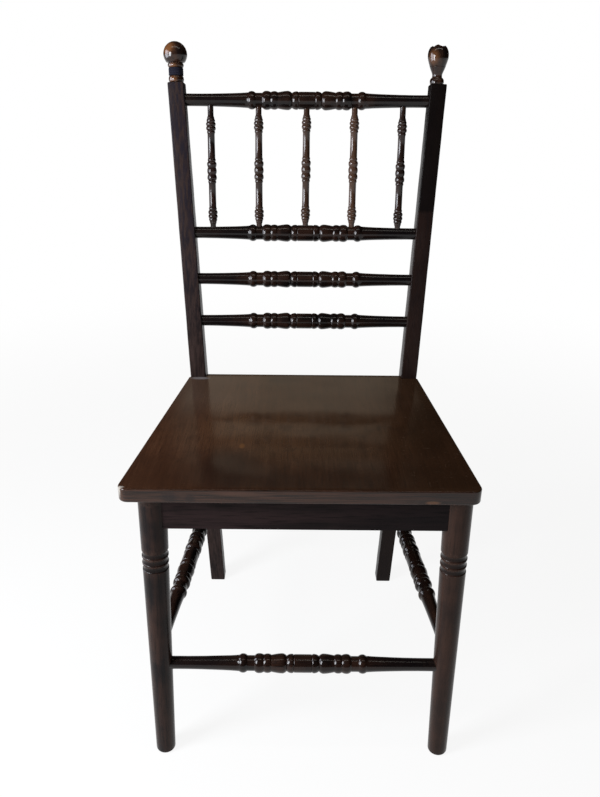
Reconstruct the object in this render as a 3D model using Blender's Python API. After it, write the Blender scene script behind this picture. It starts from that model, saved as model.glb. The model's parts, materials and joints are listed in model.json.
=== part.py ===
"""Worn spindle-back side chair with turned rails, spindles, stretchers and front legs.

Lengths are in metres and +Z is up. The chair faces -Y, and +X is on the right of someone
who stands in front of it. Everything is laid out from the middle of the seat's front edge.
One empty carries the pieces, so that the chair's own box stands centred on the origin.
"""
import math

import bmesh
import bpy
from mathutils import Vector

# Gap that touching and inserted pieces keep
FIT_GAP = 0.0003

# Seat board, which overhangs further on its left than on its right
SEAT_HEIGHT = 0.450
SEAT_THICKNESS = 0.019
SEAT_DEPTH = 0.386
SEAT_FRONT_LEFT = 0.230
SEAT_FRONT_RIGHT = 0.215
SEAT_BACK_OVERHANG = 0.0009
SEAT_NOTCH_DEPTH = 0.0147
SEAT_CORNER_RADIUS = 0.014
SEAT_CORNER_STEPS = 4
SEAT_TOP_ROUNDING = 0.0018
SEAT_BOTTOM_ROUNDING = 0.0020
SEAT_ROUNDING_STEPS = 2
SEAT_ROUNDING_SHAPE = 0.5

# Back posts, sawn with a knee at the seat: each is a rear leg below and a back post above
POST_RISE = 0.446
POST_FOOT_KICK = 0.0462
POST_RAKE = math.radians(7.33)
POST_KNEE_HALF_SPAN = 0.1886
POST_FOOT_INSET = 0.0116
POST_SPLAY = math.radians(2.49)
POST_KNEE_EASE = 0.040
POST_FOOT_WIDTH = 0.0265
POST_KNEE_WIDTH = 0.0255
POST_TOP_WIDTH = 0.0240
POST_FOOT_DEPTH = 0.0260
POST_KNEE_DEPTH = 0.0300
POST_TOP_DEPTH = 0.0245
POST_EDGE_RADIUS = 0.0020
POST_EDGE_STEPS = 2
POST_END_CHAMFER = 0.0025

# Front legs, turned and slightly splayed, with three coves under the apron
LEG_TOP_INSET = 0.0313
LEG_TOP_SETBACK = 0.0260
LEG_FOOT_SPLAY = 0.0092
LEG_FOOT_FORWARD = 0.0068
LEG_TOP_RADIUS = 0.0182
LEG_FOOT_RADIUS = 0.0137
LEG_FOOT_ROUNDING = 0.0040
LEG_FOOT_STEPS = 3
LEG_COVE_COUNT = 3
LEG_COVE_PITCH = 0.0103
LEG_COVE_WIDTH = 0.0076
LEG_COVE_DEPTH = 0.0014
LEG_COVE_FLOOR = 0.3
LEG_COVE_DROP = 0.1075

# Aprons under the seat, with stub tenons in the legs and posts
APRON_HEIGHT = 0.0451
APRON_THICKNESS = 0.018
APRON_FACE_SETBACK = 0.0136
BACK_APRON_THICKNESS = 0.012
BACK_APRON_INSET = 0.0005
APRON_TENON_THICKNESS = 0.008
BACK_TENON_THICKNESS = 0.005
APRON_TENON_HEIGHT = 0.028
APRON_TENON_DEPTH = 0.008

# Turned bars: the same beaded middle on every rail and stretcher
BAR_END_RADIUS = 0.00875
BAR_TENON_DEPTH = 0.015
BAR_BARREL_HALF = 0.0118
BAR_BARREL_RADIUS = 0.0123
BAR_GROOVE_START = 0.0212
BAR_GROOVE_END = 0.0240
BAR_GROOVE_RADIUS = 0.0105
BAR_VASE_START = 0.0284
BAR_VASE_TURN = 0.0322
BAR_VASE_FALL = 0.0385
BAR_VASE_END = 0.0437
BAR_VASE_RADIUS = 0.0133
BAR_VASE_FALL_RADIUS = 0.0124
BAR_VASE_END_RADIUS = 0.0114
BAR_VALLEY = 0.0541
BAR_VALLEY_RADIUS = 0.01175
BAR_PLAIN_START = 0.0668
BAR_PLAIN_END = 0.0776
BAR_PLAIN_RADIUS = 0.0105
BAR_TAPER_START = 0.0880
BAR_TAPER_MIDDLE = 0.1150
BAR_TAPER_END = 0.1600
BAR_TAPER_RADIUS = 0.01095
BAR_TAPER_MIDDLE_RADIUS = 0.0097
# Each bead: distance of its crest from the bar's middle, and the crest's half-width and radius
BAR_INNER_BEAD = (0.0153, 0.0012, 0.0129)
BAR_VASE_BEAD = (0.0489, 0.0012, 0.01285)
BAR_WIDE_BEAD = (0.0609, 0.0019, 0.0132)
BAR_OUTER_BEAD = (0.0830, 0.0011, 0.0127)
# The plain back bar: share of its half-length, for each ring of its swell
BAR_SWELL_SHARES = (0.0, 0.35, 0.7, 1.0)

# Levels of the bars: the top rail below the posts' ends, the other rails above the seat, and
# the stretchers above the floor
TOP_RAIL_DROP = 0.0232
SPINDLE_RAIL_RISE = 0.2303
MIDDLE_RAIL_RISE = 0.1584
LOWER_RAIL_RISE = 0.0911
RAIL_SETBACK = 0.0115
FRONT_STRETCHER_HEIGHT = 0.160
SIDE_STRETCHER_HEIGHT = 0.1915
BACK_STRETCHER_HEIGHT = 0.150
BACK_STRETCHER_RADIUS = 0.0112

# Spindles between the top rail and the spindle rail. Each one's turned pattern sits lower
# than the middle of its span, by its own distance from left to right
SPINDLE_SIDE_SPACE = 0.0326
SPINDLE_END_CLEAR = 0.0040
SPINDLE_DROPS = (0.0047, 0.0032, 0.0016, 0.0022, 0.0060)
SPINDLE_NECK_RADIUS = 0.0044
SPINDLE_SHAFT_RADIUS = 0.0056
SPINDLE_BEAD_RADIUS = 0.0074
SPINDLE_RING_RADIUS = 0.0063
SPINDLE_VALLEY_RADIUS = 0.0062
# Rings beside the middle of the pattern: distance from the middle, and radius
SPINDLE_MIDDLE = (
    (0.0000, SPINDLE_BEAD_RADIUS),
    (0.0052, SPINDLE_VALLEY_RADIUS),
    (0.0103, SPINDLE_BEAD_RADIUS),
    (0.0139, SPINDLE_SHAFT_RADIUS),
    (0.0161, SPINDLE_RING_RADIUS),
    (0.0183, SPINDLE_SHAFT_RADIUS),
)
# Rings of the bulb near each end: distance towards the end from where the bulb starts, and radius
SPINDLE_BULB_INSET = 0.0431
SPINDLE_BULB = (
    (0.0000, SPINDLE_SHAFT_RADIUS),
    (0.0022, SPINDLE_RING_RADIUS),
    (0.0043, SPINDLE_SHAFT_RADIUS),
    (0.0078, SPINDLE_BEAD_RADIUS),
    (0.0109, SPINDLE_VALLEY_RADIUS),
    (0.0140, SPINDLE_BEAD_RADIUS),
    (0.0167, SPINDLE_VALLEY_RADIUS),
    (0.0189, SPINDLE_RING_RADIUS),
    (0.0260, SPINDLE_NECK_RADIUS),
)

# Finials: a turned knob on each post, with a dowel in the post's end
FINIAL_DOWEL_RADIUS = 0.0045
FINIAL_DOWEL_LENGTH = 0.012
FINIAL_BASE_HEIGHT = 0.0088
FINIAL_BASE_RADIUS = 0.0112
FINIAL_NECK_RADIUS = 0.0075
FINIAL_NECK_TOP = 0.0200
FINIAL_COLLAR_RADIUS = 0.0118
FINIAL_COLLAR_HEIGHT = 0.0066
FINIAL_RING_ROUNDING = 0.0012
LEFT_BALL_RADIUS = 0.0175
LEFT_BALL_HEIGHT = 0.0385
LEFT_FINIAL_LEAN = 0.0085
RIGHT_BASE_RADIUS = 0.0104
RIGHT_NECK_HEIGHT = 0.0113
RIGHT_NECK_RADIUS = 0.0071
RIGHT_KNOB_RADIUS = 0.0154
RIGHT_KNOB_HEIGHT = 0.0384
RIGHT_KNOB_CROWN = 0.0166
RIGHT_KNOB_SWELL = 1.5
RIGHT_FINIAL_LEAN = 0.0435
RIGHT_BREAK_HEIGHT = 0.0510
RIGHT_BREAK_SLOPE = (0.14, -0.10, 1.0)
KNOB_STEPS = 7

# Tape wound round the neck of the left finial
TAPE_RADIUS = 0.0110
TAPE_EDGE = 0.0006

# Glue blocks in the corners under the seat, each with one screw up into the board
BLOCK_DEPTH = 0.028
BLOCK_LEG_CLEAR = 0.0240
BLOCK_FRONT_REACH = 0.0400
BLOCK_REAR_START = 0.0040
BLOCK_REAR_REACH = 0.0400
SCREW_SHANK_RADIUS = 0.0020
SCREW_HEAD_RADIUS = 0.0042
SCREW_HEAD_DEPTH = 0.0030
SCREW_BITE = 0.0100

# Facets round each turned piece
BAR_SIDES = 12
LEG_SIDES = 16
SPINDLE_SIDES = 8
FINIAL_SIDES = 14
SCREW_SIDES = 8
SMOOTH_ANGLE = math.radians(35.0)

# What follows from those sizes
SEAT_UNDERSIDE = SEAT_HEIGHT - SEAT_THICKNESS
SEAT_BACK_HALF_WIDTH = POST_KNEE_HALF_SPAN + SEAT_BACK_OVERHANG
APRON_TOP = SEAT_UNDERSIDE - FIT_GAP
APRON_BOTTOM = APRON_TOP - APRON_HEIGHT
POST_HEIGHT = SEAT_HEIGHT + POST_RISE
POST_KNEE_FRONT = SEAT_DEPTH - SEAT_NOTCH_DEPTH
POST_FOOT_SLOPE = -POST_FOOT_KICK / SEAT_HEIGHT
POST_FOOT_SPLAY = POST_FOOT_INSET / SEAT_HEIGHT
LEG_TOP_HALF_SPAN = (SEAT_FRONT_LEFT + SEAT_FRONT_RIGHT) / 2 - LEG_TOP_INSET
LEG_FOOT_HALF_SPAN = LEG_TOP_HALF_SPAN + LEG_FOOT_SPLAY
LEG_FOOT_SETBACK = LEG_TOP_SETBACK - LEG_FOOT_FORWARD
LEG_COVE_HEIGHT = SEAT_UNDERSIDE - LEG_COVE_DROP
TOP_RAIL_HEIGHT = POST_HEIGHT - TOP_RAIL_DROP
SPINDLE_RAIL_HEIGHT = SEAT_HEIGHT + SPINDLE_RAIL_RISE


def wood(name, colour, roughness):
    """Varnished wood of one colour."""
    material = bpy.data.materials.new(name)
    material.use_nodes = True
    shader = material.node_tree.nodes["Principled BSDF"]
    shader.inputs["Base Color"].default_value = (*colour, 1.0)
    shader.inputs["Roughness"].default_value = roughness
    shader.inputs["Metallic"].default_value = 0.0
    return material


def add_piece(name, mesh, material, location=(0.0, 0.0, 0.0), direction=None):
    """Place a mesh on the chair, with its own Z turned along a direction if one is given."""
    piece = bpy.data.objects.new(name, mesh)
    mesh.materials.append(material)
    bpy.context.collection.objects.link(piece)
    piece.location = location
    piece.parent = chair
    if direction is not None:
        piece.rotation_mode = "QUATERNION"
        piece.rotation_quaternion = Vector(direction).to_track_quat("Z", "Y")
    return piece


def add_guide(name, mesh, location=(0.0, 0.0, 0.0), direction=None):
    """A shape that only cuts or extends another piece."""
    guide = add_piece(name, mesh, guide_material, location, direction)
    guide.hide_render = True
    guide.display_type = "WIRE"
    return guide


def combine(piece, guide, operation):
    """Cut a guide out of a piece, or join it on."""
    modifier = piece.modifiers.new(guide.name, "BOOLEAN")
    modifier.operation = operation
    modifier.solver = "EXACT"
    modifier.object = guide


def finish_mesh(name, bm, smooth):
    """Turn a bmesh into a mesh whose faces point out."""
    bmesh.ops.recalc_face_normals(bm, faces=bm.faces)
    mesh = bpy.data.meshes.new(name)
    bm.to_mesh(mesh)
    bm.free()
    if smooth:
        mesh.shade_smooth()
        mesh.set_sharp_from_angle(angle=SMOOTH_ANGLE)
    return mesh


def turned_bmesh(profile, sides, ring=False):
    """Spin (height, radius) points round Z, as one solid or as a hollow ring."""
    bm = bmesh.new()
    points = [bm.verts.new((radius, 0.0, height)) for height, radius in profile]
    edges = [bm.edges.new(pair) for pair in zip(points, points[1:])]
    if ring:
        edges.append(bm.edges.new((points[-1], points[0])))
    bmesh.ops.spin(
        bm, geom=points + edges, cent=(0, 0, 0), axis=(0, 0, 1),
        angle=math.tau, steps=sides, use_merge=True,
    )
    bmesh.ops.remove_doubles(bm, verts=bm.verts, dist=1e-6)
    return bm


def turned_mesh(name, profile, sides, ring=False):
    """A turned piece as a mesh."""
    return finish_mesh(name, turned_bmesh(profile, sides, ring), smooth=True)


def trim(bm, point, normal):
    """Saw a closed bmesh off at a plane and close the end again."""
    everything = bm.verts[:] + bm.edges[:] + bm.faces[:]
    cut = bmesh.ops.bisect_plane(
        bm, geom=everything, dist=1e-7, plane_co=point, plane_no=normal, clear_outer=True,
    )
    rim = [item for item in cut["geom_cut"] if isinstance(item, bmesh.types.BMEdge)]
    bmesh.ops.edgeloop_fill(bm, edges=rim)


def rod_mesh(name, length, radius, sides):
    """A plain round rod along Z, from its own origin."""
    profile = [(0.0, 0.0), (0.0, radius), (length, radius), (length, 0.0)]
    return turned_mesh(name, profile, sides)


def prism_mesh(name, outline, bottom, top):
    """An upright board or block from its outline seen from above."""
    bm = bmesh.new()
    face = bm.faces.new([bm.verts.new((x, y, bottom)) for x, y in outline])
    raised = bmesh.ops.extrude_face_region(bm, geom=[face])
    lifted = [item for item in raised["geom"] if isinstance(item, bmesh.types.BMVert)]
    bmesh.ops.translate(bm, verts=lifted, vec=(0.0, 0.0, top - bottom))
    return finish_mesh(name, bm, smooth=False)


def strip_outline(start, end, thickness):
    """The four corners of a straight board of some thickness along a line."""
    start = Vector(start)
    end = Vector(end)
    along = (end - start).normalized()
    side = Vector((-along.y, along.x)) * thickness / 2
    return [start - side, end - side, end + side, start + side]


def fillet(before, corner, after, radius, steps):
    """Points of an arc that rounds a corner of an outline."""
    corner = Vector(corner)
    back = (Vector(before) - corner).normalized()
    ahead = (Vector(after) - corner).normalized()
    half_angle = back.angle(ahead) / 2
    centre = corner + (back + ahead).normalized() * radius / math.sin(half_angle)
    first = corner + back * radius / math.tan(half_angle) - centre
    last = corner + ahead * radius / math.tan(half_angle) - centre
    points = []
    for step in range(steps + 1):
        blend = step / steps
        points.append(centre + (first * (1 - blend) + last * blend).normalized() * radius)
    return points


def closed_profile(half, drop=0.0):
    """A whole profile from its upper half, with both ends reaching the axis.

    The pattern can sit lower on the piece than its middle: then the upper end is longer.
    """
    end = half[-1][0]
    lower = [(-height, radius) for height, radius in reversed(half[:-1]) if height > 0.0]
    foot = [(drop - end, 0.0), (drop - end, half[-1][1])]
    head = [(drop + end, half[-1][1]), (drop + end, 0.0)]
    return foot + lower + half[:-1] + head


def bead(crest, half_width, radius):
    """The two crest rings of a bead: its flanks run down to the valleys beside it."""
    return [(crest - half_width, radius), (crest + half_width, radius)]


def bar_profile(half_length):
    """Half of a beaded bar, from its middle to its end."""
    half = [(BAR_BARREL_HALF, BAR_BARREL_RADIUS)]
    half += bead(*BAR_INNER_BEAD)
    half.append((BAR_GROOVE_START, BAR_GROOVE_RADIUS))
    half.append((BAR_GROOVE_END, BAR_GROOVE_RADIUS))
    half.append((BAR_VASE_START, BAR_VASE_RADIUS))
    half.append((BAR_VASE_TURN, BAR_VASE_RADIUS))
    half.append((BAR_VASE_FALL, BAR_VASE_FALL_RADIUS))
    half.append((BAR_VASE_END, BAR_VASE_END_RADIUS))
    half += bead(*BAR_VASE_BEAD)
    half.append((BAR_VALLEY, BAR_VALLEY_RADIUS))
    half += bead(*BAR_WIDE_BEAD)
    half.append((BAR_PLAIN_START, BAR_PLAIN_RADIUS))
    half.append((BAR_PLAIN_END, BAR_PLAIN_RADIUS))
    half += bead(*BAR_OUTER_BEAD)
    half.append((BAR_TAPER_START, BAR_TAPER_RADIUS))
    half.append((BAR_TAPER_MIDDLE, BAR_TAPER_MIDDLE_RADIUS))
    half.append((BAR_TAPER_END, BAR_END_RADIUS))
    half.append((half_length, BAR_END_RADIUS))
    return half


def plain_bar_profile(half_length):
    """Half of the plain bar: thickest in the middle, thinned to its ends."""
    half = []
    for share in BAR_SWELL_SHARES:
        radius = BACK_STRETCHER_RADIUS + (BAR_END_RADIUS - BACK_STRETCHER_RADIUS) * share**2
        half.append((share * (half_length - BAR_TENON_DEPTH), radius))
    half.append((half_length, BAR_END_RADIUS))
    return half


def spindle_profile(half_length):
    """Half of a spindle: a bead and a ring beside the middle bead, a shaft, and a bulb."""
    bulb = half_length - SPINDLE_BULB_INSET + SPINDLE_END_CLEAR
    half = list(SPINDLE_MIDDLE)
    half += [(bulb + place, radius) for place, radius in SPINDLE_BULB]
    half.append((half_length, SPINDLE_NECK_RADIUS))
    return half


def finial_base(radius):
    """The dowel of a finial and the ring that it stands on."""
    return [
        (-FINIAL_DOWEL_LENGTH, 0.0),
        (-FINIAL_DOWEL_LENGTH, FINIAL_DOWEL_RADIUS),
        (FIT_GAP, FINIAL_DOWEL_RADIUS),
        (FIT_GAP, radius - FINIAL_RING_ROUNDING),
        (FINIAL_RING_ROUNDING, radius),
        (FINIAL_BASE_HEIGHT - FINIAL_RING_ROUNDING, radius),
        (FINIAL_BASE_HEIGHT, radius - FINIAL_RING_ROUNDING),
    ]


def finial_foot():
    """The foot of the left finial: dowel, base ring, neck and collar."""
    collar_top = FINIAL_NECK_TOP + FINIAL_COLLAR_HEIGHT
    return finial_base(FINIAL_BASE_RADIUS) + [
        (FINIAL_BASE_HEIGHT + FIT_GAP, FINIAL_NECK_RADIUS),
        (FINIAL_NECK_TOP, FINIAL_NECK_RADIUS),
        (FINIAL_NECK_TOP + FIT_GAP, FINIAL_COLLAR_RADIUS - FINIAL_RING_ROUNDING),
        (FINIAL_NECK_TOP + FINIAL_RING_ROUNDING, FINIAL_COLLAR_RADIUS),
        (collar_top - FINIAL_RING_ROUNDING, FINIAL_COLLAR_RADIUS),
        (collar_top, FINIAL_COLLAR_RADIUS - FINIAL_RING_ROUNDING),
    ]


def ball_arc(centre, radius, crown, first_angle):
    """Arc of a knob from an angle above its widest ring to its top."""
    points = []
    for step in range(KNOB_STEPS + 1):
        angle = first_angle + (math.pi / 2 - first_angle) * step / KNOB_STEPS
        points.append((centre + crown * math.sin(angle), radius * math.cos(angle)))
    points[-1] = (centre + crown, 0.0)
    return points


def ball_profile():
    """The left finial: a round ball on its ringed foot."""
    foot = finial_foot()
    first_angle = math.asin((foot[-1][0] + FIT_GAP - LEFT_BALL_HEIGHT) / LEFT_BALL_RADIUS)
    return foot + ball_arc(LEFT_BALL_HEIGHT, LEFT_BALL_RADIUS, LEFT_BALL_RADIUS, first_angle)


def egg_profile():
    """The right finial before its top broke: an egg that swells out of a slim neck."""
    profile = finial_base(RIGHT_BASE_RADIUS) + [(RIGHT_NECK_HEIGHT, RIGHT_NECK_RADIUS)]
    for step in range(1, KNOB_STEPS):
        share = step / KNOB_STEPS
        swell = math.sin(math.pi / 2 * share) ** RIGHT_KNOB_SWELL
        height = RIGHT_NECK_HEIGHT + (RIGHT_KNOB_HEIGHT - RIGHT_NECK_HEIGHT) * share
        radius = RIGHT_NECK_RADIUS + (RIGHT_KNOB_RADIUS - RIGHT_NECK_RADIUS) * swell
        profile.append((height, radius))
    return profile + ball_arc(RIGHT_KNOB_HEIGHT, RIGHT_KNOB_RADIUS, RIGHT_KNOB_CROWN, 0.0)


def eased(offset):
    """Zero below the knee and equal to the offset above it, with a smooth bend between."""
    if offset <= -POST_KNEE_EASE:
        return 0.0
    if offset >= POST_KNEE_EASE:
        return offset
    return (offset + POST_KNEE_EASE) ** 2 / (4 * POST_KNEE_EASE)


def post_front(height):
    """How far back the front face of a post stands at a height."""
    offset = height - SEAT_HEIGHT
    bend = math.tan(POST_RAKE) - POST_FOOT_SLOPE
    return POST_KNEE_FRONT + POST_FOOT_SLOPE * offset + bend * eased(offset)


def post_outer(height):
    """Distance from the chair's middle to the outer face of a post at a height."""
    offset = height - SEAT_HEIGHT
    bend = math.tan(POST_SPLAY) - POST_FOOT_SPLAY
    return POST_KNEE_HALF_SPAN + POST_FOOT_SPLAY * offset + bend * eased(offset)


def post_thickness(height, foot, knee, top):
    """Width or depth of a post, thinned from the knee to the foot and to the top."""
    if height < SEAT_HEIGHT:
        return foot + (knee - foot) * height / SEAT_HEIGHT
    return knee + (top - knee) * (height - SEAT_HEIGHT) / (POST_HEIGHT - SEAT_HEIGHT)


def post_width(height):
    return post_thickness(height, POST_FOOT_WIDTH, POST_KNEE_WIDTH, POST_TOP_WIDTH)


def post_depth(height):
    return post_thickness(height, POST_FOOT_DEPTH, POST_KNEE_DEPTH, POST_TOP_DEPTH)


def post_inner(height):
    return post_outer(height) - post_width(height)


def post_centre(side, height):
    """Middle of a post at a height: side is -1 on the left and +1 on the right."""
    x = side * (post_outer(height) - post_width(height) / 2)
    return Vector((x, post_front(height) + post_depth(height) / 2, height))


def post_section(bm, side, height, inset, grow, squared):
    """One ring of a post's surface, with rounded corners."""
    centre = post_centre(side, height)
    half_width = post_width(height) / 2 - inset + grow
    half_depth = post_depth(height) / 2 - inset + grow
    corners = [(1, 1), (-1, 1), (-1, -1), (1, -1)]
    outline = [(sx * half_width, sy * half_depth) for sx, sy in corners]
    ring = []
    for index, corner in enumerate(outline):
        before = outline[index - 1]
        after = outline[(index + 1) % 4]
        for point in fillet(before, corner, after, POST_EDGE_RADIUS, POST_EDGE_STEPS):
            drop = point.y * math.tan(POST_RAKE) + point.x * side * math.tan(POST_SPLAY)
            lift = -drop if squared else 0.0
            ring.append(bm.verts.new((centre.x + point.x, centre.y + point.y, height + lift)))
    return ring


def post_mesh(name, side, grow=0.0):
    """A post lofted through its sections, from the foot over the knee to the top."""
    bm = bmesh.new()
    knee = [SEAT_HEIGHT + POST_KNEE_EASE * share for share in (-1.0, -0.5, 0.0, 0.5, 1.0)]
    stages = [(0.0, POST_END_CHAMFER, False), (POST_END_CHAMFER, 0.0, False)]
    stages += [(height, 0.0, False) for height in knee]
    stages += [(POST_HEIGHT - POST_END_CHAMFER, 0.0, True), (POST_HEIGHT, POST_END_CHAMFER, True)]
    rings = []
    for height, inset, squared in stages:
        rings.append(post_section(bm, side, height, inset, grow, squared))
    for lower, upper in zip(rings, rings[1:]):
        for index in range(len(lower)):
            following = (index + 1) % len(lower)
            bm.faces.new((lower[index], lower[following], upper[following], upper[index]))
    bm.faces.new(list(reversed(rings[0])))
    bm.faces.new(rings[-1])
    return finish_mesh(name, bm, smooth=False)


def leg_point(side, height):
    """Point on the axis of a front leg at a height."""
    share = height / SEAT_UNDERSIDE
    span = LEG_FOOT_HALF_SPAN + (LEG_TOP_HALF_SPAN - LEG_FOOT_HALF_SPAN) * share
    setback = LEG_FOOT_SETBACK + (LEG_TOP_SETBACK - LEG_FOOT_SETBACK) * share
    return Vector((side * span, setback, height))


def leg_radius(height):
    return LEG_FOOT_RADIUS + (LEG_TOP_RADIUS - LEG_FOOT_RADIUS) * height / SEAT_UNDERSIDE


def leg_profile(length):
    """Profile of a front leg along its axis, with a rounded foot and a band of coves."""
    overrun = LEG_FOOT_ROUNDING
    rounding = LEG_FOOT_ROUNDING
    profile = [(-overrun, 0.0), (-overrun, leg_radius(0.0) - rounding)]
    for step in range(LEG_FOOT_STEPS + 1):
        angle = math.pi / 2 * step / LEG_FOOT_STEPS
        radius = leg_radius(rounding) - rounding * (1 - math.sin(angle))
        profile.append((rounding * (1 - math.cos(angle)), radius))
    rim = LEG_COVE_WIDTH / 2
    floor = rim * LEG_COVE_FLOOR
    for index in range(LEG_COVE_COUNT):
        middle = LEG_COVE_HEIGHT + index * LEG_COVE_PITCH
        for offset, depth in ((-rim, 0.0), (-floor, LEG_COVE_DEPTH), (floor, LEG_COVE_DEPTH), (rim, 0.0)):
            profile.append((middle + offset, leg_radius(middle + offset) - depth))
    profile.append((length + overrun, leg_radius(length)))
    profile.append((length + overrun, 0.0))
    return profile


def leg_mesh(name, side):
    """A front leg in the chair's own place, sawn level at the floor and under the seat."""
    foot = leg_point(side, 0.0)
    axis = leg_point(side, SEAT_UNDERSIDE) - foot
    bm = turned_bmesh(leg_profile(axis.length), LEG_SIDES)
    turn = axis.to_track_quat("Z", "Y")
    for vert in bm.verts:
        vert.co = foot + turn @ vert.co
    trim(bm, (0.0, 0.0, 0.0), (0.0, 0.0, -1.0))
    trim(bm, (0.0, 0.0, APRON_TOP), (0.0, 0.0, 1.0))
    return finish_mesh(name, bm, smooth=True)


def leg_clearance(name, side):
    """The round space that a front leg takes, with the fitting gap round it."""
    foot = leg_point(side, APRON_BOTTOM)
    axis = leg_point(side, SEAT_UNDERSIDE) - foot
    overrun = LEG_FOOT_ROUNDING
    radius = LEG_TOP_RADIUS + FIT_GAP
    mesh = rod_mesh(name, axis.length + 2 * overrun, radius, LEG_SIDES)
    return add_guide(name, mesh, foot - axis.normalized() * overrun, axis)


def seat_edge(side, setback):
    """Place of the seat's left or right edge at a distance behind its front."""
    front = SEAT_FRONT_RIGHT if side > 0 else SEAT_FRONT_LEFT
    return side * (front + (SEAT_BACK_HALF_WIDTH - front) * setback / SEAT_DEPTH)


def seat_mesh():
    """The seat board: tapered to the back, notched round the posts, its edges rounded."""
    heights = (SEAT_UNDERSIDE, SEAT_HEIGHT)
    notch = min(post_front(height) for height in heights) - FIT_GAP
    inner = min(post_inner(height) for height in heights) - FIT_GAP
    front_left = (-SEAT_FRONT_LEFT, 0.0)
    front_right = (SEAT_FRONT_RIGHT, 0.0)
    right = (seat_edge(1, notch), notch)
    left = (seat_edge(-1, notch), notch)
    outline = fillet(left, front_left, front_right, SEAT_CORNER_RADIUS, SEAT_CORNER_STEPS)
    outline += fillet(front_left, front_right, right, SEAT_CORNER_RADIUS, SEAT_CORNER_STEPS)
    outline += [right, (inner, notch), (inner, SEAT_DEPTH), (-inner, SEAT_DEPTH)]
    outline += [(-inner, notch), left]
    bm = bmesh.new()
    bm.from_mesh(prism_mesh("seat_blank", outline, *heights))
    for level, rounding in ((SEAT_HEIGHT, SEAT_TOP_ROUNDING), (SEAT_UNDERSIDE, SEAT_BOTTOM_ROUNDING)):
        rim = []
        for edge in bm.edges:
            ends = [vert.co for vert in edge.verts]
            level_edge = all(abs(end.z - level) < 1e-6 for end in ends)
            in_notch = all(end.y > notch - 1e-6 for end in ends) and any(end.y < notch + 1e-6 for end in ends)
            if level_edge and not in_notch:
                rim.append(edge)
        bmesh.ops.bevel(
            bm, geom=rim, offset=rounding, offset_type="OFFSET", affect="EDGES",
            segments=SEAT_ROUNDING_STEPS, profile=SEAT_ROUNDING_SHAPE, material=-1,
        )
    return finish_mesh("seat_board", bm, smooth=False)


def add_bar(name, start, end, profile, material):
    """A turned bar between two points."""
    span = Vector(end) - Vector(start)
    mesh = turned_mesh(name, closed_profile(profile(span.length / 2)), BAR_SIDES)
    return add_piece(name, mesh, material, (Vector(start) + Vector(end)) / 2, span)


def bore(host, name, end, inward, depth, radius, sides):
    """A round socket for the end of a bar or spindle that comes out along a direction."""
    inward = Vector(inward).normalized()
    mesh = rod_mesh(name, depth + FIT_GAP, radius + FIT_GAP, sides)
    guide = add_guide(name, mesh, Vector(end) - inward * FIT_GAP, inward)
    combine(host, guide, "DIFFERENCE")


def mortise_and_tenon(board, host, name, start, end, thickness):
    """A stub tenon on a board's end, and the mortise for it in the leg or post."""
    middle = (APRON_BOTTOM + APRON_TOP) / 2
    low = middle - APRON_TENON_HEIGHT / 2
    high = middle + APRON_TENON_HEIGHT / 2
    tenon = prism_mesh(name + "_tenon", strip_outline(start, end, thickness), low, high)
    combine(board, add_guide(name + "_tenon", tenon), "UNION")
    start = Vector(start)
    end = Vector(end)
    deeper = end + (end - start).normalized() * FIT_GAP
    outline = strip_outline(start, deeper, thickness + 2 * FIT_GAP)
    mortise = prism_mesh(name + "_mortise", outline, low - FIT_GAP, high + FIT_GAP)
    combine(host, add_guide(name + "_mortise", mortise), "DIFFERENCE")


for old in list(bpy.data.objects):
    bpy.data.objects.remove(old, do_unlink=True)

chair = bpy.data.objects.new("chair", None)
bpy.context.collection.objects.link(chair)

guide_material = wood("guide", (0.5, 0.5, 0.5), 0.5)
post_wood = wood("post_wood", (0.030, 0.019, 0.016), 0.42)
turned_wood = wood("turned_wood", (0.024, 0.013, 0.011), 0.28)
spindle_wood = wood("spindle_wood", (0.022, 0.012, 0.010), 0.30)
seat_wood = wood("seat_wood", (0.045, 0.024, 0.014), 0.30)
leg_wood = wood("leg_wood", (0.050, 0.026, 0.018), 0.38)
apron_wood = wood("apron_wood", (0.020, 0.013, 0.012), 0.50)
finial_wood = wood("finial_wood", (0.060, 0.025, 0.012), 0.25)
tape_cloth = wood("tape_cloth", (0.012, 0.014, 0.030), 0.85)
block_wood = wood("block_wood", (0.110, 0.060, 0.034), 0.70)
screw_steel = wood("screw_steel", (0.210, 0.190, 0.170), 0.50)
screw_steel.node_tree.nodes["Principled BSDF"].inputs["Metallic"].default_value = 1.0

SIDES = (("left", -1), ("right", 1))

# Seat board
seat = add_piece("seat_board", seat_mesh(), seat_wood)

# Posts and front legs
posts = {}
post_spaces = {}
legs = {}
leg_spaces = {}
for word, side in SIDES:
    posts[side] = add_piece(f"{word}_back_post", post_mesh(f"{word}_back_post", side), post_wood)
    space = post_mesh(f"{word}_post_space", side, grow=FIT_GAP)
    post_spaces[side] = add_guide(f"{word}_post_space", space)
    legs[side] = add_piece(f"{word}_front_leg", leg_mesh(f"{word}_front_leg", side), leg_wood)
    leg_spaces[side] = leg_clearance(f"{word}_leg_space", side)

# Rails between the posts
rails = {}
for word, level in (
    ("top_rail", TOP_RAIL_HEIGHT),
    ("spindle_rail", SPINDLE_RAIL_HEIGHT),
    ("middle_rail", SEAT_HEIGHT + MIDDLE_RAIL_RISE),
    ("lower_rail", SEAT_HEIGHT + LOWER_RAIL_RISE),
):
    reach = post_inner(level) + BAR_TENON_DEPTH
    setback = post_front(level) + RAIL_SETBACK
    ends = {side: Vector((side * reach, setback, level)) for _, side in SIDES}
    rails[word] = add_bar(word, ends[-1], ends[1], bar_profile, turned_wood)
    for side, end in ends.items():
        bore(posts[side], f"{word}_socket_{side}", end, (-side, 0, 0), BAR_TENON_DEPTH * 2,
             BAR_END_RADIUS, BAR_SIDES)

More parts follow.
